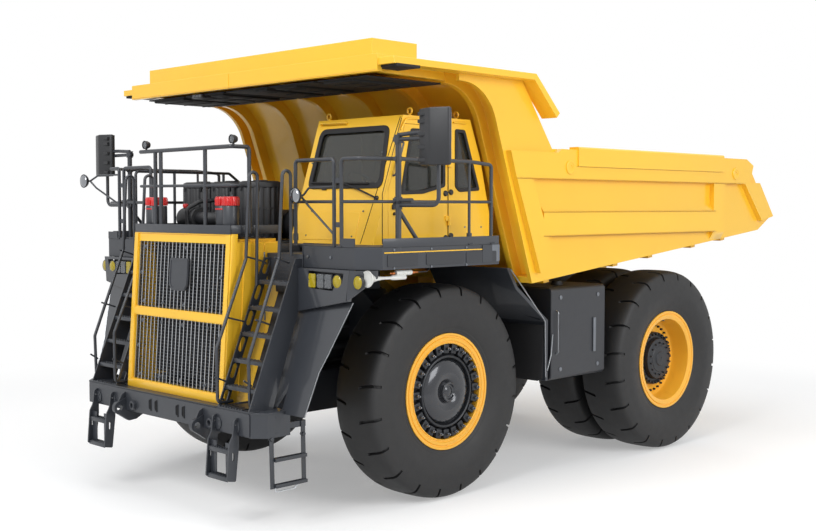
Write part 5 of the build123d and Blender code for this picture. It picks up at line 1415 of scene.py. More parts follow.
# ---------------------------------------------------------------- deck
def build_deck():
    """Walkway plates, kick plates, skirt panels, reflective strips and the end boxes."""
    work = Work()
    top = DECK_TOP
    for sign in (-1, 1):
        work.slab("Z", [(sign * 1.72, DECK_FRONT + 0.02), (sign * 2.59, DECK_FRONT + 0.02),
                        (sign * 2.81, -1.66), (sign * 2.81, 0.28), (sign * 2.33, 0.28), (sign * 2.33, 0.83),
                        (sign * 1.06, 0.83), (sign * 1.06, -1.34), (sign * 1.72, -1.34)], top - 0.002,
                  top + 0.008, 0.002)
    work.piece("deck_walkway", "walkway_steel")
    work = Work()
    for sign in (-1, 1):
        x = span(sign, DECK_SIDE - 0.006, DECK_SIDE + 0.004)
        work.box(x, (-1.67, 0.29), (top, top + 0.1), 0.002)
        work.box(span(sign, 2.36, 2.6), (DECK_FRONT - 0.004, DECK_FRONT + 0.006), (top, top + 0.1), 0.002)
    work.piece("deck_kick_plates", "chassis_paint")
    panels = []
    for y0, y1 in ((-1.6, -1.12), (-0.98, -0.34), (-0.3, 0.24)):
        panels.append(outlined([rounded([(y0, 2.985), (y1, 2.985), (y1, 3.115), (y0, 3.115)], 0.02)], "X",
                               DECK_SIDE - 0.003, DECK_SIDE + 0.008, 0.003))
    joined("deck_skirt_panels", two_sided(panels), "tank_grey")
    work = Work()
    for sign in (-1, 1):
        x = span(sign, DECK_SIDE, DECK_SIDE + 0.005)
        work.box(x, (-1.65, 0.1), (3.135, 3.147), 0)
    work.piece("deck_marker_strips", "body_paint")
    work = Work()
    for sign in (-1, 1):
        x = span(sign, 2.52, 2.78)
        work.box(x, (-0.02, 0.3), (3.0, top + 0.02), 0.008)
        work.box(span(sign, 2.7, 2.84), (-0.015, 0.16), (2.985, 3.19), 0.006)
    work.piece("deck_end_boxes", "chassis_paint")
    plates = []
    for sign in (1, -1):
        plate = outlined([rounded([(0.17, 2.99), (0.3, 2.99), (0.3, 3.19), (0.17, 3.19)], 0.01)], "X", 2.8,
                         2.836, 0.003)
        plates.append(plate if sign > 0 else flipped(plate))
    joined("deck_end_plates", plates, "bright_bolt")
    work = Work()
    for x in (1.8, 2.2):
        work.turned(stud(0.02, 0.012, 0.018, 0.014), (x, -1.88, 3.08), "Y", 6, True)
    for y in (-1.5, -0.9, -0.3):
        work.turned(stud(0.016, 0.01, 0.014, 0.012), (DECK_SIDE, y, 3.17), "X", 6)
        work.turned(stud(0.016, 0.01, 0.014, 0.012), (DECK_SIDE, y, 2.965), "X", 6)
    work.mirror()
    work.piece("deck_bolts", "bright_bolt")


def build_handrails():
    """Rails round the deck and on the hood, with their feet, links and sleeves."""
    x = DECK_SIDE - 0.03
    y = DECK_FRONT + 0.03
    low = DECK_TOP
    gate_in, gate_out = GATE_X
    post_x, post_y = MIRROR_POST
    runs = [[(1.54, y, low), (1.54, y, RAIL_TOP), (gate_in, y, RAIL_TOP), (gate_in, y, low)],
            [(gate_out, y, low), (gate_out, y, RAIL_TOP), (x - 0.18, y + 0.03, RAIL_TOP),
             (post_x, post_y, RAIL_TOP)],
            [(x, 0.18, low), (x, 0.18, RAIL_TOP - 0.03), (x, -0.216, RAIL_TOP), (post_x, post_y, RAIL_TOP)]]
    tubes("handrails_tubes", mirrored(runs), POST_TUBE, "chassis_paint", bend=0.05, replaces=("handrails",))
    mids = [[(1.54, y, RAIL_MID), (gate_in, y, RAIL_MID)],
            [(gate_out, y, RAIL_MID), (x - 0.18, y + 0.03, RAIL_MID), (post_x, post_y, RAIL_MID),
             (x, -0.216, RAIL_MID), (x, 0.18, RAIL_MID)],
            [(x, -0.216, low), (x, -0.216, RAIL_TOP)]]
    tubes("handrails_mid_tubes", mirrored(mids), 0.018, "chassis_paint", bend=0.03)
    back = -2.385
    hood_low = HOOD_TOP
    bow = [[(-0.93, back, 4.355), (1.02, back, 4.36), (1.02, -2.13, 4.36), (1.02, -2.13, hood_low)],
           [(-0.59, back, hood_low), (-0.59, back, 4.355)],
           [(-0.467, back, hood_low), (-0.467, back, 4.355)], [(0.49, back, hood_low), (0.49, back, 4.36)]]
    tubes("hood_rail_tubes", bow, 0.025, "chassis_paint", bend=0.04)
    tubes("hood_rail_mid_tube", [[(-0.93, back, 3.915), (1.02, back, 3.905), (1.02, -2.13, 3.905)]], 0.018,
          "chassis_paint", bend=0.04)
    far = [[(-1.95, DECK_FRONT + 0.05, low), (-1.95, DECK_FRONT + 0.05, 4.14), (-1.95, -0.25, 4.14),
            (-1.95, 0.05, 3.93)], [(-1.95, -1.2, low), (-1.95, -1.2, 4.14)],
           [(-1.95, -0.35, low), (-1.95, -0.35, 4.14)],
           [(-1.95, DECK_FRONT + 0.05, RAIL_MID), (-1.95, -0.1, RAIL_MID)]]
    tubes("handrails_inner_tubes", far, 0.02, "chassis_paint", bend=0.05)
    work = Work()
    spots = [(1.54, y), (gate_in, y), (gate_out, y), (x, 0.18), (x, -0.216)]
    for px, py in spots:
        work.box((px - 0.045, px + 0.045), (py - 0.045, py + 0.045), (low - 0.001, low + 0.014), 0.004)
        for dx in (-0.03, 0.03):
            work.turned(stud(0.01, 0.01, 0.009, 0.012), (px + dx, py + 0.03, low + 0.012),
                        "Z", 6)
    for z in (3.45, 3.95):
        work.box((gate_in - 0.01, gate_out + 0.01), (y - 0.006, y + 0.006), (z - 0.03, z + 0.03), 0.003)
    work.mirror()
    for px in (-0.59, -0.467, 0.49):
        work.box((px - 0.04, px + 0.04), (back - 0.01, back + 0.05), (hood_low + 0.008, hood_low + 0.022),
                 0.004)
    work.piece("handrails_feet", "chassis_paint")
    work = Work()
    for centre in ((1.54, y, low + 0.1), (x, -0.216, low + 0.1)):
        work.turned(band(-0.04, 0.04, 0.026, 0.032), centre, "Z", 20)
    work.mirror()
    work.piece("handrails_sleeves", "chassis_paint")


def flare(work, side, z, tall, wide):
    """Curved corner plate between a rail and the mirror post, along Y."""
    x, y = MIRROR_POST
    points = [(y, z)]
    steps = 6
    for k in range(steps + 1):
        a = math.radians(90 * k / steps)
        points.append((y + side * wide * (1 - math.sin(a)), z + tall * (1 - math.cos(a))))
    work.slab("X", points, x - 0.006, x + 0.006, 0.001)


def build_mirrors():
    """Mirror posts with corner plates, bent outriggers, two-part heads, arms and clamps."""
    x, y = MIRROR_POST
    low = DECK_TOP
    top = 4.45
    reach = 3.425
    tubes("mirrors_posts", mirrored([[(x, y, low - 0.05), (x, y, top)]]), 0.034, "chassis_paint", sides=16,
          replaces=("mirrors",))
    paths = [[(x, y, 4.406), (reach, y, 4.406), (reach, y, 3.672), (x, y, 3.672)],
             [(x, y, 4.455), (x + 0.3, y - 0.01, 4.47), (3.3, y - 0.03, 4.47)],
             [(x, y + 0.02, 3.6), (x, y + 0.36, 3.205)], [(x, y, 3.725), (3.02, y, 3.725)]]
    tubes("mirrors_outriggers", mirrored(paths), 0.024, "chassis_paint", bend=0.09)
    work = Work()
    for side in (-1, 1):
        for z, tall, wide in ((RAIL_TOP, 0.17, 0.11), (RAIL_TOP, -0.13, 0.13), (RAIL_MID, 0.15, 0.14),
                              (RAIL_MID, -0.1, 0.08)):
            flare(work, side, z, tall, wide)
    work.turned(disc(0, 0.012, 0.05), (x, y, top - 0.004), "Z", 24)
    for z in (4.406, 3.672, 3.725):
        work.turned(band(-0.04, 0.04, 0.034, 0.046), (x, y, z), "Z", 24)
        work.box((x - 0.06, x - 0.036), (y - 0.03, y + 0.03), (z - 0.025, z + 0.025), 0.004)
    for z in (4.22, 4.5):
        work.box((reach - 0.045, reach + 0.03), (y - 0.07, y + 0.03), (z - 0.03, z + 0.03), 0.006)
    work.mirror()
    work.piece("mirrors_brackets", "chassis_paint")
    face = y - 0.02
    work = Work()
    work.slab("Z", [(3.19, face - 0.05), (3.42, face - 0.13), (3.64, face - 0.05), (3.64, face),
                    (3.19, face)], 4.1, 4.72, 0.02)
    work.slab("Y", [(3.2, 4.11), (3.4, 4.11), (3.4, 4.71), (3.2, 4.71)], face - 0.012, face + 0.015, 0.006)
    for z in (4.16, 4.3, 4.44, 4.58, 4.66):
        work.box((3.22, 3.38), (face - 0.1, face - 0.06), (z - 0.02, z + 0.02), 0.004)
    work.mirror()
    work.piece("mirrors_heads", "moulded_black")
    glass = []
    for z0, z1 in ((4.32, 4.69), (4.125, 4.295)):
        pane = outlined([rounded([(3.215, z0), (3.625, z0), (3.625, z1), (3.215, z1)], 0.03)], "Y",
                        face - 0.002, face + 0.006, 0.002)
        glass += [pane, flipped(pane)]
    joined("mirrors_faces", glass, "mirror_face")
    work = Work()
    for spot in CONVEX_MIRRORS:
        work.turned([(-0.026, 0.0), (-0.025, 0.035), (-0.019, 0.066), (-0.008, 0.086), (0.0, 0.088),
                     (0.002, 0.0)], spot, "Y", 40)
    work.piece("convex_mirrors_faces", "mirror_face", smooth=60)
    work = Work()
    for spot in CONVEX_MIRRORS:
        work.turned([(-0.004, 0.087), (-0.006, 0.096), (0.004, 0.098), (0.022, 0.09), (0.045, 0.07),
                     (0.06, 0.03), (0.062, 0.0)], spot, "Y", 40)
        work.turned([(-0.004, 0.087), (0.002, 0.08), (0.03, 0.0)], spot, "Y", 40)
    work.piece("convex_mirrors_backs", "moulded_black", smooth=50)
    arms = [[(1.72, -1.95, 3.778), (1.74, -1.9, 3.78), (1.82, -1.885, 3.87), (2.222, -1.85, 3.88)],
            [(1.73, -1.93, 3.778), (1.82, -1.885, 3.66), (2.23, -1.85, 3.33)],
            [(-3.08, -1.98, 4.02), (-3.02, -1.92, 4.02), (-2.9, -1.86, 4.1), (-2.346, -1.85, 4.1)],
            [(-3.02, -1.92, 4.02), (-2.92, -1.88, 3.92), (-2.346, -1.85, 3.68)]]
    tubes("convex_mirror_arms", arms, 0.013, "chassis_paint", bend=0.05, sides=10)


# ---------------------------------------------------------------- lamps and horn
def panel_y(z):
    """Place of the raked panel beside the ladder at height z."""
    return -1.83 - (2.64 - z) * 0.3615


def fluted(centre, radius, depth, total):
    """Loop of a drum with shallow upright flutes."""
    loop = []
    for k in range(total * 4):
        angle = math.tau * k / (total * 4)
        reach = radius - (depth if k % 4 in (2, 3) else 0)
        loop.append((centre[0] + reach * math.cos(angle), centre[1] + reach * math.sin(angle)))
    return loop


def ring_profile(radius, thick, steps=10):
    """Closed profile of a round ring."""
    return [(thick * math.sin(math.tau * k / steps), radius + thick * math.cos(math.tau * k / steps))
            for k in range(steps)] + [(0.0, radius + thick)]


def build_lamps():
    """Lamp panel with its recess, square and round lamps, and the work lamps on the hood's rail."""
    edge = [(1.66, 2.945), (1.66, 2.44), (2.53, 2.6), (2.585, 2.945)]
    recess = rounded([(1.885, 2.925), (2.5, 2.915), (2.47, 2.79), (2.36, 2.79), (2.31, 2.705), (1.9, 2.72)],
                     0.015)
    fronts = [outlined([edge, recess], "Y", -1.957, -1.872, 0.004)]
    wing = Work()
    corners = [(2.577, -1.957, 2.945), (2.8, -1.735, 2.945), (2.8, -1.735, 2.862), (2.545, -1.957, 2.602)]
    wing.plate(corners, (0, 0.02, 0))
    wing.mirror()
    joined("lamp_panel", [wing.taken("wing"), *two_sided(fronts)], "panel_gloss")
    work = Work()
    for x in (1.955, 2.1, 2.232):
        work.box((x - 0.062, x + 0.062), (-1.945, -1.875), (2.725, 2.895), 0.012)
    for x, y in ((2.385, -1.955), (2.665, -1.9)):
        work.turned([(0.0, 0.0), (0.0, 0.082), (0.012, 0.086), (0.05, 0.07), (0.085, 0.03), (0.085, 0.0)],
                    (x, y, 2.815), "Y", 32)
    work.mirror()
    work.piece("lamps_housings", "moulded_black", "chassis", ("lamps",))
    clear, amber = [], []
    for x, finish in ((1.955, amber), (2.1, clear), (2.232, clear)):
        for z0, z1 in ((2.738, 2.815), (2.822, 2.884)):
            finish.append(outlined([rounded([(x - 0.052, z0), (x + 0.052, z0), (x + 0.052, z1),
                                             (x - 0.052, z1)], 0.016)], "Y", -1.962, -1.94, 0.008))
    for x, y in ((2.385, -1.975), (2.665, -1.92)):
        work = Work()
        work.turned([(0.0, 0.0), (0.002, 0.03), (0.01, 0.058), (0.022, 0.075), (0.03, 0.075), (0.03, 0.0)],
                    (x, y, 2.815), "Y", 32)
        amber.append(work.taken("lens"))
    joined("lamps_clear_lenses", two_sided(clear), "lamp_lens")
    joined("lamps_amber_lenses", two_sided(amber), "amber_lens")
    work = Work()
    for x, z in ((-0.8, 4.44), (1.053, 4.442)):
        work.turned([(0.0, 0.052), (-0.012, 0.054), (-0.012, 0.048), (0.0, 0.044), (0.012, 0.0)],
                    (x, -2.4, z), "Y", 24)
        work.turned([(0.0, 0.052), (0.03, 0.05), (0.06, 0.036), (0.07, 0.018), (0.07, 0.0)], (x, -2.4, z),
                    "Y", 24)
        work.box((x - 0.012, x + 0.012), (-2.392, -2.372), (z - 0.085, z - 0.04), 0.003)
    work.piece("work_lamps_cases", "moulded_black")
    work = Work()
    for x, z in ((-0.8, 4.44), (1.053, 4.442)):
        work.turned([(-0.008, 0.0), (-0.006, 0.03), (0.0, 0.046), (0.006, 0.0)], (x, -2.402, z), "Y", 24)
    work.piece("work_lamps_lenses", "lamp_lens", smooth=60)


def build_horn():
    """Air horn with its valve, and the small fittings beside it."""
    x = 2.756
    work = Work()
    work.turned([(-1.774, 0.0), (-1.776, 0.05), (-1.78, 0.084), (-1.784, 0.088), (-1.786, 0.092),
                 (-1.778, 0.094), (-1.765, 0.084), (-1.735, 0.062), (-1.7, 0.042), (-1.64, 0.026),
                 (-1.55, 0.018), (-1.42, 0.017), (-1.405, 0.028), (-1.2, 0.03), (-1.19, 0.02), (-1.19, 0.0)],
                (x, -0.055, 2.856), "Y", 40)
    work.piece("horn_bell", "horn_white", "chassis", ("horn",), 60)
    work = Work()
    work.turned([(-1.4, 0.0), (-1.4, 0.026), (-1.39, 0.03), (-1.16, 0.03), (-1.15, 0.024), (-1.15, 0.0)],
                (x, 0, 2.908), "Y", 24)
    for y in (-1.36, -1.3, -1.24, -1.19):
        work.turned(band(y, y + 0.012, 0.03, 0.034), (x, 0, 2.908), "Y", 24)
    work.piece("horn_valve", "horn_white", smooth=50)
    work = Work()
    for y, radius in ((-1.44, 0.018), (-1.475, 0.012), (-1.12, 0.02), (-1.07, 0.013)):
        work.rod((x, y - 0.02, 2.905), (x, y + 0.02, 2.905), radius, 6, 0.002)
    work.piece("horn_fittings", "copper_fitting")
    tubes("horn_air_line",
          [[(x, -1.05, 2.905), (x, -0.9, 2.905), (x - 0.1, -0.75, 2.93), (x - 0.4, -0.6, 2.93)]], 0.008,
          "seal_rubber", bend=0.05, sides=8)


# ---------------------------------------------------------------- intakes on the deck
def build_intakes():
    """Gas canisters with ribbed caps, fluted air cleaners, the intake duct and its pipes."""
    low = HOOD_TOP + 0.006
    y = -2.255
    work = Work()
    spots = ((-0.875, y + 0.02), (-0.677, y - 0.02), (0.652, y + 0.02), (0.85, y - 0.02))
    for x, y in spots:
        work.turned([(0.0, 0.0), (0.0, 0.09), (0.02, 0.098), (0.31, 0.098), (0.322, 0.092), (0.322, 0.0)],
                    (x, y, low), "Z", 40)
        work.turned(band(0.02, 0.045, 0.098, 0.102), (x, y, low), "Z", 40)
        work.rod((x + 0.07, y - 0.03, low + 0.4), (x + 0.07, y - 0.03, low + 0.452), 0.016, 12, 0.003)
    work.piece("accumulators_canisters", "chassis_paint", "chassis", ("accumulators",), 30)
    caps = []
    for x, y in spots:
        caps.append(outlined([fluted((x, y), 0.099, 0.006, 22)], "Z", low + 0.325, low + 0.418, 0.006))
        caps.append(outlined([ring_loop((x, y), 0.092, 32)], "Z", low + 0.4, low + 0.432, 0.006))
    for x, y in (spots[0], spots[2]):
        caps.append(outlined([ring_loop((x, y), 0.1005, 32)], "Z", low + 0.275, low + 0.293, 0.002))
    joined("accumulators_ribbed_caps", caps, "cap_red", "chassis", ("accumulator_caps",), 30)
    drums = [(-1.24, -1.2), (-0.58, -1.2), (0.03, -1.2)]
    bodies = []
    for x, y in drums:
        bodies.append(outlined([fluted((x, y), 0.272, 0.012, 20)], "Z", 3.215, 3.9, 0.006))
    joined("air_cleaners_bodies", bodies, "moulded_black", "chassis", ("air_cleaners",), 30)
    work = Work()
    for x, y in drums:
        work.turned([(3.895, 0.0), (3.895, 0.268), (3.905, 0.278), (3.955, 0.278), (3.97, 0.27),
                     (3.985, 0.235), (3.985, 0.1), (3.998, 0.09), (3.998, 0.0)], (x, y, 0), "Z", 48)
        work.turned([(3.2, 0.0), (3.2, 0.262), (3.24, 0.276), (3.27, 0.276), (3.28, 0.262), (3.28, 0.0)],
                    (x, y, 0), "Z", 48)
        work.turned(band(3.62, 3.645, 0.262, 0.276), (x, y, 0), "Z", 48)
        for turn in range(6):
            angle = math.tau * turn / 6 + 0.3
            cx, cy = x + 0.27 * math.cos(angle), y + 0.27 * math.sin(angle)
            work.box((cx - 0.012, cx + 0.012), (cy - 0.012, cy + 0.012), (3.86, 3.95), 0.003)
    work.turned([(-2.0, 0.0), (-2.0, 0.25), (-1.98, 0.275), (-1.75, 0.279), (-1.74, 0.268), (-1.36, 0.268),
                 (-1.35, 0.279), (-1.12, 0.275), (-1.1, 0.25), (-1.1, 0.0)], (0, -0.7, 3.48), "X", 48)
    work.turned([(-0.34, 0.0), (-0.34, 0.17), (-0.32, 0.195), (0.7, 0.195), (0.72, 0.17), (0.72, 0.0)],
                (0, -0.78, 3.42), "X", 40)
    for x in (-0.2, 0.19, 0.58):
        work.turned(band(x, x + 0.02, 0.195, 0.202), (0, -0.78, 3.42), "X", 40)
    work.box((-0.34, 0.72), (-1.55, -0.55), (3.17, 3.216), 0.004)
    work.piece("air_cleaners_lids", "moulded_black", smooth=35)
    work = Work()
    work.turned([(-0.93, 0.0), (-0.93, 0.06), (-0.945, 0.075), (-0.945, 0.125), (-0.93, 0.135),
                 (-0.9, 0.142), (-0.6, 0.142), (-0.585, 0.132), (-0.585, 0.0)], (0, -1.72, 3.5), "X", 40)
    for k in range(8):
        angle = math.tau * k / 8
        work.box((-0.946, -0.934),
                 (-1.72 + 0.1 * math.cos(angle) - 0.008, -1.72 + 0.1 * math.cos(angle) + 0.008),
                 (3.5 + 0.1 * math.sin(angle) - 0.008, 3.5 + 0.1 * math.sin(angle) + 0.008), 0.002)
    work.box((-0.86, -0.66), (-1.8, -1.64), (HOOD_TOP, 3.4), 0.006)
    work.piece("intake_drum", "moulded_black", smooth=35)
    work = Work()
    work.turned([(3.64, 0.0), (3.64, 0.036), (3.675, 0.04), (3.69, 0.034), (3.69, 0.0)], (-0.88, -1.74, 0),
                "Z", 16)
    work.piece("intake_cap", "cap_red")
    pipes = [[(-0.7, -1.72, 3.5), (-0.45, -1.72, 3.5), (-0.3, -1.5, 3.5), (-0.28, -1.2, 3.5)],
             [(-0.66, -1.86, 3.42), (-0.66, -1.88, 3.62), (-0.62, -1.7, 3.72), (-0.58, -1.46, 3.74)]]
    tubes("intake_ducts", pipes[:1], 0.085, "moulded_black", bend=0.14, sides=24)
    tubes("intake_pipes", pipes[1:], 0.028, "moulded_black", bend=0.08, sides=14)


# ---------------------------------------------------------------- cab
def cab_front(z):
    """Place of the cab's raked front at height z."""
    return -1.32 + (z - 3.2) * 0.318


def leaned(mesh):
    """Leans a mesh drawn upright at the cab's foot to the cab's front."""
    for vert in mesh.vertices:
        vert.co.y += (vert.co.z - 3.2) * 0.318
    return mesh


def build_cab():
    """Cab trim: seals, wiper, lifting rings, grab bar, gutters, front flap, bolts, and painted shadow lines
    along the seams.
    """
    front = -1.32
    screen = [(0.9, 3.9), (2.2, 3.9), (2.1, 4.6), (0.9, 4.6)]
    outer = rounded(grown(screen, 0.022), 0.11, 8)
    inner = rounded(grown(screen, -0.032), 0.075, 8)
    seals = [leaned(outlined([outer, inner], "Y", front - 0.016, front + 0.012, 0.006))]
    rear = [(0.088, 3.905), (0.155, 3.852), (0.499, 3.874), (0.233, 4.592), (0.088, 4.595)]
    rear_outer, rear_inner = rounded(grown(rear, 0.014), 0.03), rounded(grown(rear, -0.02), 0.02)
    for low, high in ((2.294, 2.314), (0.762, 0.782)):
        seals.append(outlined([rear_outer, rear_inner], "X", low, high, 0.004))
    back = [(1.0, 3.9), (2.1, 3.9), (2.1, 4.4), (1.0, 4.4)]
    back_seal = outlined([rounded(grown(back, 0.018), 0.06), rounded(grown(back, -0.022), 0.05)], "Y", -0.01,
                         0.012, 0.004)
    for vert in back_seal.vertices:
        share = (vert.co.z - 3.2) / (4.26 - 3.2)
        y = 0.816 - share * 0.276 if vert.co.z < 4.26 else 0.54 - (vert.co.z - 4.26) / 0.48 * 0.19
        vert.co.y += y
    joined("cab_seals", seals + [back_seal], "seal_rubber")
    work = Work()
    for spot in ((0.81, -0.69, 4.8), (2.21, -0.63, 4.8), (2.18, 0.22, 4.8)):
        work.turned(ring_profile(0.036, 0.011), spot, "Y", 24)
        work.box((spot[0] - 0.03, spot[0] + 0.03), (spot[1] - 0.022, spot[1] + 0.022), (4.735, 4.75), 0.004)
        work.rod((spot[0], spot[1], 4.745), (spot[0], spot[1], 4.768), 0.014, 12)
    work.piece("cab_lifting_rings", "body_paint", smooth=60)
    y = cab_front(4.7)
    tubes("cab_grab_bar", [[(0.857, y + 0.01, 4.67), (0.862, y - 0.05, 4.7), (1.335, y - 0.05, 4.695),
                            (1.34, y + 0.01, 4.665)]], 0.012, "body_paint", bend=0.03, sides=10)
    gutter = [[(2.318, -0.885, 4.56), (2.318, -0.8, 4.69), (2.318, -0.7, 4.705), (2.318, -0.05, 4.705)],
              [(2.318, 0.03, 4.69), (2.318, 0.26, 4.69)]]
    tubes("cab_gutters", gutter, 0.01, "body_paint", bend=0.06, sides=8)
    flap = rounded([(1.01, 3.253), (1.957, 3.26), (1.954, 3.582), (1.01, 3.582)], 0.05)
    flaps = [leaned(outlined([flap], "Y", front - 0.006, front + 0.004, 0.003))]
    joined("cab_front_flap", flaps, "body_paint")
    work = Work()
    for x, z in ((1.06, 3.3), (1.9, 3.3), (1.06, 3.6), (2.0, 3.6), (2.14, 3.95), (2.1, 4.3), (0.85, 4.2)):
        work.turned([(-0.012, 0.0), (-0.012, 0.01), (-0.003, 0.012), (0.0, 0.012), (0.0, 0.0)],
                    (x, cab_front(z), z), "Y", 10)
    for spot in ((0.253, 3.399), (0.253, 3.261), (0.397, 3.267), (0.562, 3.395), (0.563, 3.26)):
        work.turned(stud(0.012, 0.006, 0.011, 0.009), (2.3, *spot), "X", 10)
    work.piece("cab_bolts", "bright_bolt")
    blade = [[(0.956, cab_front(3.95) - 0.035, 3.95), (2.005, cab_front(3.93) - 0.035, 3.93)]]
    arm = [[(2.18, cab_front(3.755) - 0.01, 3.755), (2.17, cab_front(3.77) - 0.05, 3.77),
            (1.863, cab_front(3.87) - 0.055, 3.865), (1.55, cab_front(3.94) - 0.04, 3.94)]]
    tubes("cab_wiper", blade + arm, 0.011, "seal_rubber", bend=0.02, sides=8)
    work = Work()
    work.turned([(-0.03, 0.0), (-0.03, 0.022), (0.0, 0.03), (0.0, 0.0)], (2.18, cab_front(3.755), 3.755),
                "Y", 16)
    work.box((1.16, 1.24), (cab_front(3.87) - 0.02, cab_front(3.87)), (3.858, 3.882), 0.003)
    work.piece("cab_wiper_base", "moulded_black")
    # thin near-black tubes down the cab's front corner and along the door's edges: painted shadow lines at
    # these seams
    seams = [[(2.075, cab_front(3.22) - 0.002, 3.22), (2.262, cab_front(4.72) - 0.002, 4.72)],
             [(2.303, -1.175, 3.22), (2.303, -1.175, 3.8), (2.303, -0.86, 4.7)],
             [(2.303, -0.052, 3.24), (2.303, -0.052, 4.66)]]
    tubes("cab_seam_shadow_lines", seams, 0.0045, "shade_black", bend=0.05, sides=6)


def build_door():
    """Door trim riding on the door: window seal, hinges, handle with its plate, grab and lock; and the hinge
    plates on the cab.
    """
    window = [(-0.86, 3.815), (-0.5, 3.825), (-0.125, 3.91), (-0.125, 4.57), (-0.69, 4.57)]
    x = 2.3
    seal = outlined([rounded(grown(window, 0.014), 0.035), rounded(grown(window, -0.022), 0.025)], "X",
                    x - 0.012, x + 0.01, 0.004)
    joined("cab_door_seal", [seal], "seal_rubber", "cab_door")
    work = Work()
    for y, z in ((-0.071, 3.756), (-0.069, 3.208)):
        work.turned([(0.0, 0.0), (0.0, 0.036), (0.016, 0.034), (0.024, 0.026), (0.024, 0.0)],
                    (x, y - 0.03, z + 0.06), "X", 24)
    work.box((x, x + 0.022), (-1.02, -0.86), (3.62, 3.68), 0.006)
    work.turned(stud(0.02, 0.026, 0.018, 0.028), (x, -0.98, 3.57), "X", 20)
    work.piece("cab_door_hinges", "moulded_black", "cab_door")
    tubes("cab_door_handle",
          [[(x, -0.99, 3.66), (x + 0.04, -0.99, 3.66), (x + 0.04, -0.86, 3.66), (x, -0.86, 3.66)]], 0.009,
          "moulded_black", "cab_door", 0.02, 10)
    tubes("cab_door_grab",
          [[(x, -1.0, 4.02), (x + 0.045, -1.0, 4.02), (x + 0.045, -0.86, 4.42), (x, -0.86, 4.42)]], 0.012,
          "chassis_paint", "cab_door", 0.03, 10)
    work = Work()
    for y, z in ((-0.01, 3.811), (-0.01, 3.275)):
        work.turned([(0.0, 0.0), (0.0, 0.036), (0.016, 0.034), (0.024, 0.026), (0.024, 0.0)],
                    (2.3, y + 0.005, z + 0.02), "X", 24)
    work.piece("cab_hinge_plates", "moulded_black")


def cushion(name, centre, half, turn, channels, fill):
    """Crowned cushion whose sides pull in between its corners, with sewn channels across its face."""
    shape = bmesh.new()
    bmesh.ops.create_cube(shape, size=2)
    bmesh.ops.subdivide_edges(shape, edges=shape.edges[:], cuts=17, use_grid_fill=True)
    hx, hy, hz = half
    for vert in shape.verts:
        x, y, z = vert.co
        power = 5.0
        reach = (abs(x) ** power + abs(y) ** power + abs(z) ** power) ** (1 / power)
        scale = max(abs(x), abs(y), abs(z)) / reach
        x, y, z = x * scale, y * scale, z * scale
        pull = 1 - 0.05 * (math.cos(y * math.pi / 2) if abs(x) > 0.8 else 0)
        pull_y = 1 - 0.05 * (math.cos(x * math.pi / 2) if abs(y) > 0.8 else 0)
        crown = 1 + 0.34 * fill * math.cos(x * math.pi / 2) * math.cos(y * math.pi / 2) * (1 if z > 0 else 0)
        dip = sum(0.09 * math.exp(-((y - spot) / 0.05) ** 2) for spot in channels) * (1 if z > 0 else 0)
        dip += 0.07 * math.exp(-((abs(x) - 0.62) / 0.06) ** 2) * (1 if z > 0 and len(channels) else 0)
        vert.co = (x * hx * pull, y * hy * pull_y, z * hz * 0.82 * (crown - dip))
    mesh = bpy.data.meshes.new(name)
    shape.to_mesh(mesh)
    shape.free()
    mesh.transform(Matrix.Translation(at(*centre)) @ Matrix.Rotation(math.radians(turn), 4, "X"))
    piece = finished(name, mesh, "seat_cloth", "chassis", (), 80)
    return piece


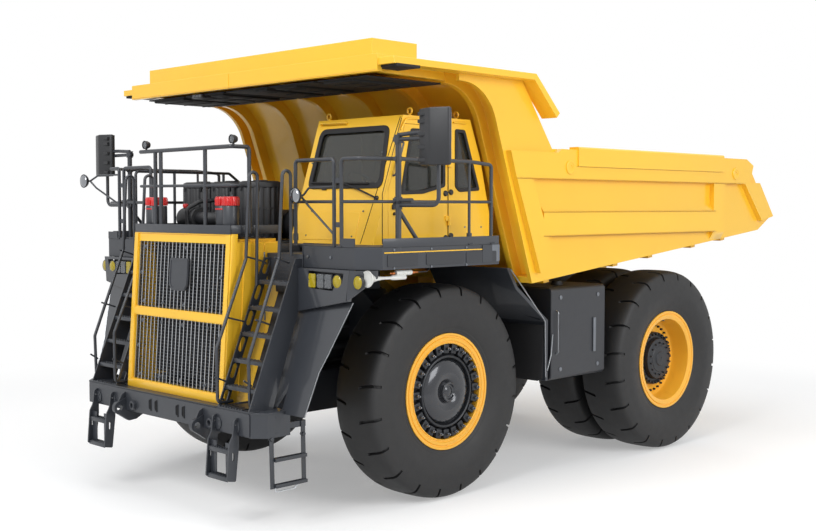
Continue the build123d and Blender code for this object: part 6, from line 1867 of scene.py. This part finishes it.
def build_cab_inside():
    """Driver's seat, dash with its screen and switches, steering wheel, pillars and console."""
    x = 1.56
    seat = cushion("cab_seat_cushion", (x, -0.34, 3.665), (0.25, 0.27, 0.085), 0, (-0.3, 0.25), 0.6)
    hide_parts("cab_seat")
    cushion("cab_seat_back", (x, -0.02, 4.0), (0.24, 0.3, 0.075), 97, (-0.35, 0.1, 0.5), 0.6)
    cushion("cab_seat_headrest", (x, 0.03, 4.36), (0.13, 0.075, 0.05), 97, (), 0.7)
    work = Work()
    work.box((x - 0.18, x + 0.18), (-0.52, -0.16), (3.26, 3.31), 0.01)
    work.box((x - 0.12, x + 0.12), (-0.46, -0.22), (3.31, 3.52), 0.03)
    work.box((x - 0.22, x + 0.22), (-0.56, -0.12), (3.52, 3.585), 0.015)
    for sign in (-1, 1):
        work.box(sorted((x + sign * 0.27, x + sign * 0.32)), (-0.4, -0.06), (3.86, 3.9), 0.015)
        work.box(sorted((x + sign * 0.275, x + sign * 0.315)), (-0.1, -0.05), (3.6, 3.87), 0.01)
    work.rod((x - 0.05, 0.03, 4.25), (x - 0.05, 0.03, 4.34), 0.008, 8)
    work.rod((x + 0.05, 0.03, 4.25), (x + 0.05, 0.03, 4.34), 0.008, 8)
    work.piece("cab_seat_base", "moulded_black")
    work = Work()
    work.slab("X", [(-1.2, 3.26), (-1.03, 3.83), (-0.96, 3.855), (-0.88, 3.84), (-0.88, 3.72), (-1.0, 3.6),
                    (-1.0, 3.26)], 0.9, 2.17, 0.012)
    work.slab("X", [(-1.0, 3.82), (-0.96, 3.92), (-0.86, 3.92), (-0.8, 3.8), (-0.88, 3.74)], 1.32, 1.8,
              0.015)
    work.rod((x, -0.98, 3.74), (x, -0.83, 3.9), 0.035, 16, 0.004)
    work.box((0.95, 1.2), (-0.62, -0.05), (3.26, 3.66), 0.02)
    work.rod((1.07, -0.45, 3.66), (1.07, -0.47, 3.8), 0.012, 10)
    work.ball((1.07, -0.47, 3.82), 0.03, 14)
    for k in range(6):
        work.box((1.0 + k * 0.055, 1.035 + k * 0.055), (-0.885, -0.872), (3.75, 3.8), 0.003)
    for px in (1.42, 1.56, 1.7):
        work.turned([(0.0, 0.0), (0.0, 0.04), (0.01, 0.042), (0.012, 0.036), (0.006, 0.034), (0.006, 0.0)],
                    (px, -0.842, 3.862), "Y", 24)
    work.piece("cab_controls_dash", "moulded_black", "chassis", ("cab_controls",))
    wheel = Work()
    wheel.turned(ring_profile(0.205, 0.016), (0, 0, 0), "Z", 48)
    wheel.turned([(-0.02, 0.0), (-0.02, 0.045), (0.01, 0.05), (0.02, 0.04), (0.022, 0.0)], (0, 0, 0), "Z",
                 24)
    for turn in (90, 210, 330):
        angle = math.radians(turn)
        wheel.rod((0, 0, -0.004), (0.2 * math.cos(angle), 0.2 * math.sin(angle), -0.004), 0.011, 10)
    for vert in wheel.mesh.verts:
        vert.co -= at(0, 0, 0)
        vert.co = Matrix.Rotation(math.radians(-43), 3, "X") @ vert.co
        vert.co += at(x, -0.8, 3.93)
    wheel.piece("cab_steering_wheel", "moulded_black", smooth=60)
    # pillars, back wall, post and roof lining inside the cab, drawn near black as painted shade inside the
    # cab
    work = Work()
    for px in (0.845, 2.24):
        work.box((px - 0.03, px + 0.03), (-0.98, -0.92), (3.3, 3.86), 0.008)
    work.box((0.85, 2.22), (0.1, 0.16), (3.26, 3.86), 0.01)
    work.box((1.4, 1.46), (0.1, 0.15), (3.86, 4.6), 0.01)
    work.box((0.83, 2.24), (-0.78, 0.28), (4.655, 4.68), 0.01)
    work.piece("cab_lining_in_shade", "shade_black")
    work = Work()
    work.box((0.835, 0.85), (-0.85, 0.4), (3.28, 3.8), 0.004)
    work.piece("cab_inner_panel", "tank_grey")


# ---------------------------------------------------------------- dump bed
def build_bed():
    """Lifting bosses and weld beads of the dump bed."""
    work = Work()
    for y, z in ((1.889, 4.172), (6.183, 4.171)):
        work.turned([(-0.01, 0.0), (-0.01, 0.092), (0.012, 0.094), (0.018, 0.086), (0.018, 0.064),
                     (0.012, 0.06), (0.012, 0.034), (0.004, 0.03), (0.004, 0.0)], (2.7, y, z), "X", 40)
    work.mirror()
    work.piece("bed_lifting_bosses", "body_paint", "dump_bed", (), 35)
    x = 2.703
    beads = [[(x, 1.34, 3.584), (x, 5.6, 3.584)], [(x, 1.34, 3.27), (x, 5.6, 3.27)],
             [(x, 0.8, 4.015), (x, 1.1, 4.015), (x, 6.45, 4.015)],
             [(2.622, 1.6, 3.262), (2.622, 5.5, 3.262)], [(x, 2.05, 4.19), (x, 5.735, 4.19)]]
    tubes("bed_weld_beads", beads + mirrored(beads), 0.006, "body_paint", "dump_bed", 0.02, 6)


def build_canopy():
    """Dark boxes and plates under the canopy and in the recess on its sides as painted shade, and its light
    bar and seams.
    """
    # near-black boxes between the canopy's ribs, with thin strips across them: painted shade of the deep
    # underside
    work = Work()
    for x0, x1 in ((-2.2, -1.47), (-1.29, -0.91), (-0.84, -0.55), (0.14, 0.38), (0.55, 0.97), (1.47, 1.99)):
        work.box((x0, x1), (-1.36, -0.4), (5.118, 5.17), 0.012)
        for k in range(3):
            y = -1.2 + k * 0.32
            work.box((x0 + 0.03, x1 - 0.03), (y, y + 0.02), (5.109, 5.119), 0.003)
    work.piece("canopy_shade_boxes", "shade_black", "dump_bed")
    # near-black plates over the underside between the ribs: painted shade
    work = Work()
    for middle_x in (-1.84, -0.92, 0.0, 0.92, 1.84):
        work.box((middle_x - 0.43, middle_x + 0.43), (-1.4, -0.15), (5.146, 5.165), 0.004)
    work.piece("canopy_shade_liners", "shade_black", "dump_bed")
    work = Work()
    work.box((-1.15, -0.92), (-1.44, -1.385), (5.11, 5.165), 0.008)
    work.piece("canopy_light_bar", "moulded_black", "dump_bed")
    work = Work()
    for x in (-1.12, -1.05, -0.98):
        work.box((x, x + 0.045), (-1.448, -1.438), (5.122, 5.153), 0.003)
    work.piece("canopy_light_bar_lenses", "lamp_lens", "dump_bed")
    # near-black block under the top flange on each side: painted shadow in the recess
    work = Work()
    work.box((2.45, 2.813), (-1.44, -1.06), (5.222, 5.256), 0.006)
    work.mirror()
    work.piece("canopy_pocket_shade", "shade_black", "dump_bed")
    seams = [[(-0.24, -1.503, 5.19), (-0.24, -1.503, 5.37)], [(-2.55, -1.503, 5.2), (2.55, -1.503, 5.2)]]
    tubes("canopy_seams", seams, 0.005, "body_paint", "dump_bed", 0.02, 6)


# ---------------------------------------------------------------- tanks, guards and panels
def build_tanks():
    """Handles, hanging links, filler caps, bolts and sight gauge of the two tanks."""
    work = Work()
    for x, y in ((2.05, 2.45), (1.35, 2.6)):
        work.turned([(-0.01, 0.0), (-0.01, 0.085), (0.02, 0.085), (0.022, 0.072), (0.05, 0.07),
                     (0.058, 0.062), (0.058, 0.0)], (x, y, 2.56), "Z", 32)
    work.mirror()
    work.piece("tank_filler_caps", "moulded_black")
    x = 2.43
    rails = [[(x - 0.01, 1.96, 2.25), (x + 0.035, 1.96, 2.22), (x + 0.035, 1.96, 1.68),
              (x - 0.01, 1.96, 1.65)]]
    tubes("tank_handles", rails + mirrored(rails), 0.011, "bright_bar", bend=0.03, sides=10)
    link = [[(x + 0.012, 1.863, 1.93), (x + 0.02, 1.82, 1.655), (x + 0.012, 1.75, 1.45)]]
    tubes("tank_links", link + mirrored(link), 0.01, "bright_bar", bend=0.05, sides=10)
    work = Work()
    for y, z in ((2.05, 1.44), (2.9, 1.44), (2.05, 2.42), (2.9, 2.42)):
        work.turned([(-0.004, 0.0), (-0.004, 0.03), (0.008, 0.029), (0.012, 0.018), (0.012, 0.0)], (x, y, z),
                    "X", 20)
    work.box((x - 0.004, x + 0.022), (2.78, 2.84), (1.62, 2.1), 0.008)
    work.mirror()
    work.piece("tank_gauges", "bright_bolt")


def guard_z(y):
    """Height of the raked guard ahead of the tank at the place y."""
    return 2.862 - (y - 0.98) * 1.009


def build_guards():
    """Pressed rib, edge strip and rubber flap on the raked guards behind the front wheels."""
    rib = [(1.76, 1.06), (1.8, 1.16), (1.92, 1.42), (2.03, 1.56), (2.16, 1.64), (2.38, 1.69)]
    ribs = [[(x, y - 0.006, guard_z(y) + 0.002) for x, y in rib]]
    tubes("guard_ribs", ribs + mirrored(ribs), 0.02, "chassis_paint", bend=0.2, sides=12)
    edges = [[(2.425, 1.0, guard_z(1.0) + 0.004), (2.425, 1.72, guard_z(1.72) + 0.004), (2.425, 1.74, 1.36)]]
    tubes("guard_edges", edges + mirrored(edges), 0.01, "bright_bar", bend=0.04, sides=8)
    work = Work()
    work.slab("Y", [(1.05, 2.06), (2.4, 2.06), (2.38, 1.34), (2.3, 1.3), (1.12, 1.3), (1.05, 1.36)], 1.715,
              1.733, 0.004)
    work.mirror()
    work.piece("guard_flaps", "seal_rubber")


def build_panels():
    """Wide glossy plates beside the ladders, with a thin bright strip along their outer edge as a painted
    highlight on that edge.
    """
    gap = 0.012
    edge = [(2.555, 2.581), (2.377, 2.026), (2.296, 1.801), (2.252, 1.31)]
    plates = []
    for sign in (1, -1):
        loop = [(sign * 1.84, 2.6), *((sign * x, z) for x, z in edge), (sign * 1.84, 1.31)]
        work = Work()
        work.plate([(x, panel_y(z) - gap, z) for x, z in loop], (0, 0.008, 0))
        plates.append(work.taken("panel"))
    joined("fascia_plates", plates, "panel_gloss")
    # bright steel tube along each plate's outer edge: painted highlight where light catches the edge's lip
    strips = [[(x, panel_y(z) - gap - 0.001, z) for x, z in edge]]
    tubes("fascia_edge_highlights", strips + mirrored(strips), 0.006, "bright_bar", bend=0.03, sides=8)


# ---------------------------------------------------------------- running gear, engine and hoses
def build_running_gear():
    """Collars, rings and bolts of the struts, the axle bowl's cover and the hoist's pin caps."""
    work = Work()
    for z in (1.66, 1.78):
        work.turned(band(z, z + 0.03, 0.16, 0.182), (1.33, 0, 0), "Z", 40)
    for z in (1.78, 2.1):
        work.turned(band(z, z + 0.04, 0.112, 0.132), (0.822, 4.91, 0), "Z", 32)
    for y, z in ((3.2, 1.2), (2.8, 2.5)):
        work.turned(stud(0.06, 0.012, 0.056, 0.014), (0.93, y, z), "X", 24)
    work.mirror()
    work.piece("strut_collars", "hub_iron")
    work = Work()
    axle = REAR_AXLE.y - FRONT_AXLE.y
    work.turned([(-0.6, 0.0), (-0.6, 0.26), (-0.575, 0.3), (-0.53, 0.31), (-0.5, 0.34), (-0.5, 0.0)],
                (0, axle, TYRE_RADIUS), "Y", 48, True)
    for k in range(16):
        angle = math.tau * k / 16
        spot = (0.285 * math.sin(angle), axle + 0.6, TYRE_RADIUS + 0.285 * math.cos(angle))
        work.rod((spot[0], spot[1] - 0.05, spot[2]), (spot[0], spot[1] + 0.006, spot[2]), 0.016, 6, 0.002)
    work.piece("axle_bowl_cover", "hub_iron")


def build_engine():
    """Fan, pulleys, covers and pipes round the engine."""
    work = Work()
    work.turned([(-1.72, 0.0), (-1.72, 0.09), (-1.7, 0.11), (-1.645, 0.11), (-1.645, 0.0)], (0, 0, 1.86),
                "Y", 32)
    for k in range(8):
        angle = math.tau * k / 8
        c, s = math.cos(angle), math.sin(angle)
        tip, root = 0.46, 0.1
        outline = ((root, -0.03, 0), (tip, -0.09, -0.02), (tip, 0.09, 0.03), (root, 0.03, 0.01))
        corners = [(c * r - s * w, -1.7 + d, 1.86 + s * r + c * w) for r, w, d in outline]
        work.plate(corners, (0, 0.008, 0))
    work.piece("engine_fan", "moulded_black")
    work = Work()
    for sign in (-1, 1):
        for k in range(6):
            y = -1.45 + k * 0.31
            work.box(span(sign, 0.08, 0.4), (y, y + 0.24), (2.28, 2.345), 0.02)
            work.rod((sign * 0.24, y + 0.12, 2.34), (sign * 0.24, y + 0.12, 2.362), 0.02, 6, 0.003)
    for x, z, radius in ((0.0, 1.32, 0.13), (0.26, 1.72, 0.07), (-0.26, 1.72, 0.07)):
        work.turned([(-1.7, 0.0), (-1.7, radius), (-1.69, radius), (-1.68, radius - 0.015), (-1.67, radius),
                     (-1.645, radius), (-1.645, 0.0)], (x, 0, z), "Y", 32)
    work.piece("engine_covers", "engine_iron")
    pipes = []
    for sign in (-1, 1):
        pipes.append([(sign * 0.49, -1.35, 2.05), (sign * 0.52, -0.9, 2.08), (sign * 0.52, 0.2, 2.08),
                      (sign * 0.4, 0.42, 2.06)])
        pipes.append([(sign * 0.49, -1.45, 1.8), (sign * 0.49, 0.35, 1.8)])
    tubes("engine_manifolds", pipes, 0.05, "engine_iron", bend=0.12, sides=16)


def build_hoses():
    """Hoses and pipes along the frame."""
    runs = []
    for k, z in enumerate((1.44, 1.5, 1.56)):
        runs.append([(0.64, 0.7 + k * 0.05, z), (0.64, 1.7, z), (0.64, 2.45, z + 0.1)])
    tubes("frame_pipes", runs + mirrored(runs), 0.014, "moulded_black", bend=0.08, sides=10)


# ---------------------------------------------------------------- operators
class TRUCK_OT_finishes(Operator):
    """Makes the surface effects and finishes and lays them on the CAD nodes"""
    bl_idname = "truck.finishes"
    bl_label = "Finishes"

    def execute(self, context):
        for make in (ring_tree, row_tree, tube_tree):
            make()
        make_finishes()
        dress_nodes()
        return {"FINISHED"}


class TRUCK_OT_stage(Operator):
    """Sets up the camera, the lamps, the sky and the floor"""
    bl_idname = "truck.stage"
    bl_label = "Stage"

    def execute(self, context):
        build_stage()
        return {"FINISHED"}


class TRUCK_OT_tyres(Operator):
    """Builds the grooved tyres"""
    bl_idname = "truck.tyres"
    bl_label = "Tyres"

    def execute(self, context):
        build_tyres()
        return {"FINISHED"}


class TRUCK_OT_wheels(Operator):
    """Builds the rims, the front hubs and the rear final drives"""
    bl_idname = "truck.wheels"
    bl_label = "Rims and hubs"

    def execute(self, context):
        build_rims()
        build_hubs()
        return {"FINISHED"}

class TRUCK_OT_grille(Operator):
    """Builds the grille bars, cross wires, clips and the cooler's fins"""
    bl_idname = "truck.grille"
    bl_label = "Grille"

    def execute(self, context):
        build_grille()
        return {"FINISHED"}


class TRUCK_OT_hood(Operator):
    """Builds the hood's kick plate, frame bands, side doors and latches"""
    bl_idname = "truck.hood"
    bl_label = "Hood trim"

    def execute(self, context):
        build_hood_trim()
        return {"FINISHED"}


class TRUCK_OT_ladders(Operator):
    """Builds the slanting ladders, the hanging steps and the side ladder"""
    bl_idname = "truck.ladders"
    bl_label = "Ladders and steps"

    def execute(self, context):
        build_ladders()
        build_steps()
        return {"FINISHED"}


class TRUCK_OT_bumper(Operator):
    """Builds the bumper's face plate, bosses and edges"""
    bl_idname = "truck.bumper"
    bl_label = "Bumper"

    def execute(self, context):
        build_bumper()
        return {"FINISHED"}


class TRUCK_OT_deck(Operator):
    """Builds the walkway, skirt panels, strips and end boxes"""
    bl_idname = "truck.deck"
    bl_label = "Deck"

    def execute(self, context):
        build_deck()
        return {"FINISHED"}


class TRUCK_OT_handrails(Operator):
    """Builds the rails round the deck and on the hood"""
    bl_idname = "truck.handrails"
    bl_label = "Handrails"

    def execute(self, context):
        build_handrails()
        return {"FINISHED"}


class TRUCK_OT_mirrors(Operator):
    """Builds the mirror posts, outriggers, heads and convex mirrors"""
    bl_idname = "truck.mirrors"
    bl_label = "Mirrors"

    def execute(self, context):
        build_mirrors()
        return {"FINISHED"}


class TRUCK_OT_lights(Operator):
    """Builds the lamp panels, lamps, work lamps and the horn"""
    bl_idname = "truck.lights"
    bl_label = "Lamps and horn"

    def execute(self, context):
        build_lamps()
        build_horn()
        return {"FINISHED"}


class TRUCK_OT_intakes(Operator):
    """Builds the gas canisters, air cleaners and intake ducts"""
    bl_idname = "truck.intakes"
    bl_label = "Intakes"

    def execute(self, context):
        build_intakes()
        return {"FINISHED"}


class TRUCK_OT_cab(Operator):
    """Builds the cab's trim, the door's fittings, the seat and the controls"""
    bl_idname = "truck.cab"
    bl_label = "Cab"

    def execute(self, context):
        build_cab()
        build_door()
        build_cab_inside()
        return {"FINISHED"}


class TRUCK_OT_bed(Operator):
    """Builds the bed's bosses and weld beads, and under the canopy its light bar, seams, and dark boxes and
    plates as painted shade
    """
    bl_idname = "truck.bed"
    bl_label = "Dump bed"

    def execute(self, context):
        build_bed()
        build_canopy()
        return {"FINISHED"}


class TRUCK_OT_sides(Operator):
    """Builds the tanks' fittings, the mudguards and the raked panels"""
    bl_idname = "truck.sides"
    bl_label = "Tanks and guards"

    def execute(self, context):
        build_tanks()
        build_guards()
        build_panels()
        return {"FINISHED"}


class TRUCK_OT_running(Operator):
    """Builds the strut, axle, engine and hoist details and the hoses"""
    bl_idname = "truck.running_gear"
    bl_label = "Running gear"

    def execute(self, context):
        build_running_gear()
        build_engine()
        build_hoses()
        return {"FINISHED"}


class TRUCK_PT_looks(Panel):
    """Lists the pieces and the values that change them"""
    bl_label = "Truck looks"
    bl_idname = "TRUCK_PT_looks"
    bl_space_type = "VIEW_3D"
    bl_region_type = "UI"
    bl_category = "Truck"

    def draw(self, context):
        settings = context.scene.truck_looks
        for part in ("colours", "tyres", "hubs", "grille", "ladders", "stage"):
            box = self.layout.box()
            group = getattr(settings, part)
            for prop in group.bl_rna.properties.keys():
                if prop not in ("rna_type", "name"):
                    box.prop(group, prop)
        for operator in STEPS:
            self.layout.operator(operator.bl_idname)


STEPS = (TRUCK_OT_finishes, TRUCK_OT_stage, TRUCK_OT_tyres, TRUCK_OT_wheels, TRUCK_OT_grille, TRUCK_OT_hood,
         TRUCK_OT_ladders, TRUCK_OT_bumper, TRUCK_OT_deck, TRUCK_OT_handrails, TRUCK_OT_mirrors,
         TRUCK_OT_lights, TRUCK_OT_intakes, TRUCK_OT_cab, TRUCK_OT_bed, TRUCK_OT_sides, TRUCK_OT_running)
GROUPS = (TruckColours, TruckTyres, TruckGrille, TruckLadders, TruckHubs, TruckStage, TruckLooks)


def register():
    for item in (*GROUPS, *STEPS, TRUCK_PT_looks):
        bpy.utils.register_class(item)
    bpy.types.Scene.truck_looks = PointerProperty(type=TruckLooks)


def unregister():
    del bpy.types.Scene.truck_looks
    for item in reversed((*GROUPS, *STEPS, TRUCK_PT_looks)):
        bpy.utils.unregister_class(item)


def main():
    register()
    for step in STEPS:
        getattr(bpy.ops.truck, step.bl_idname.split(".")[1])()


if __name__ == "__main__":
    main()
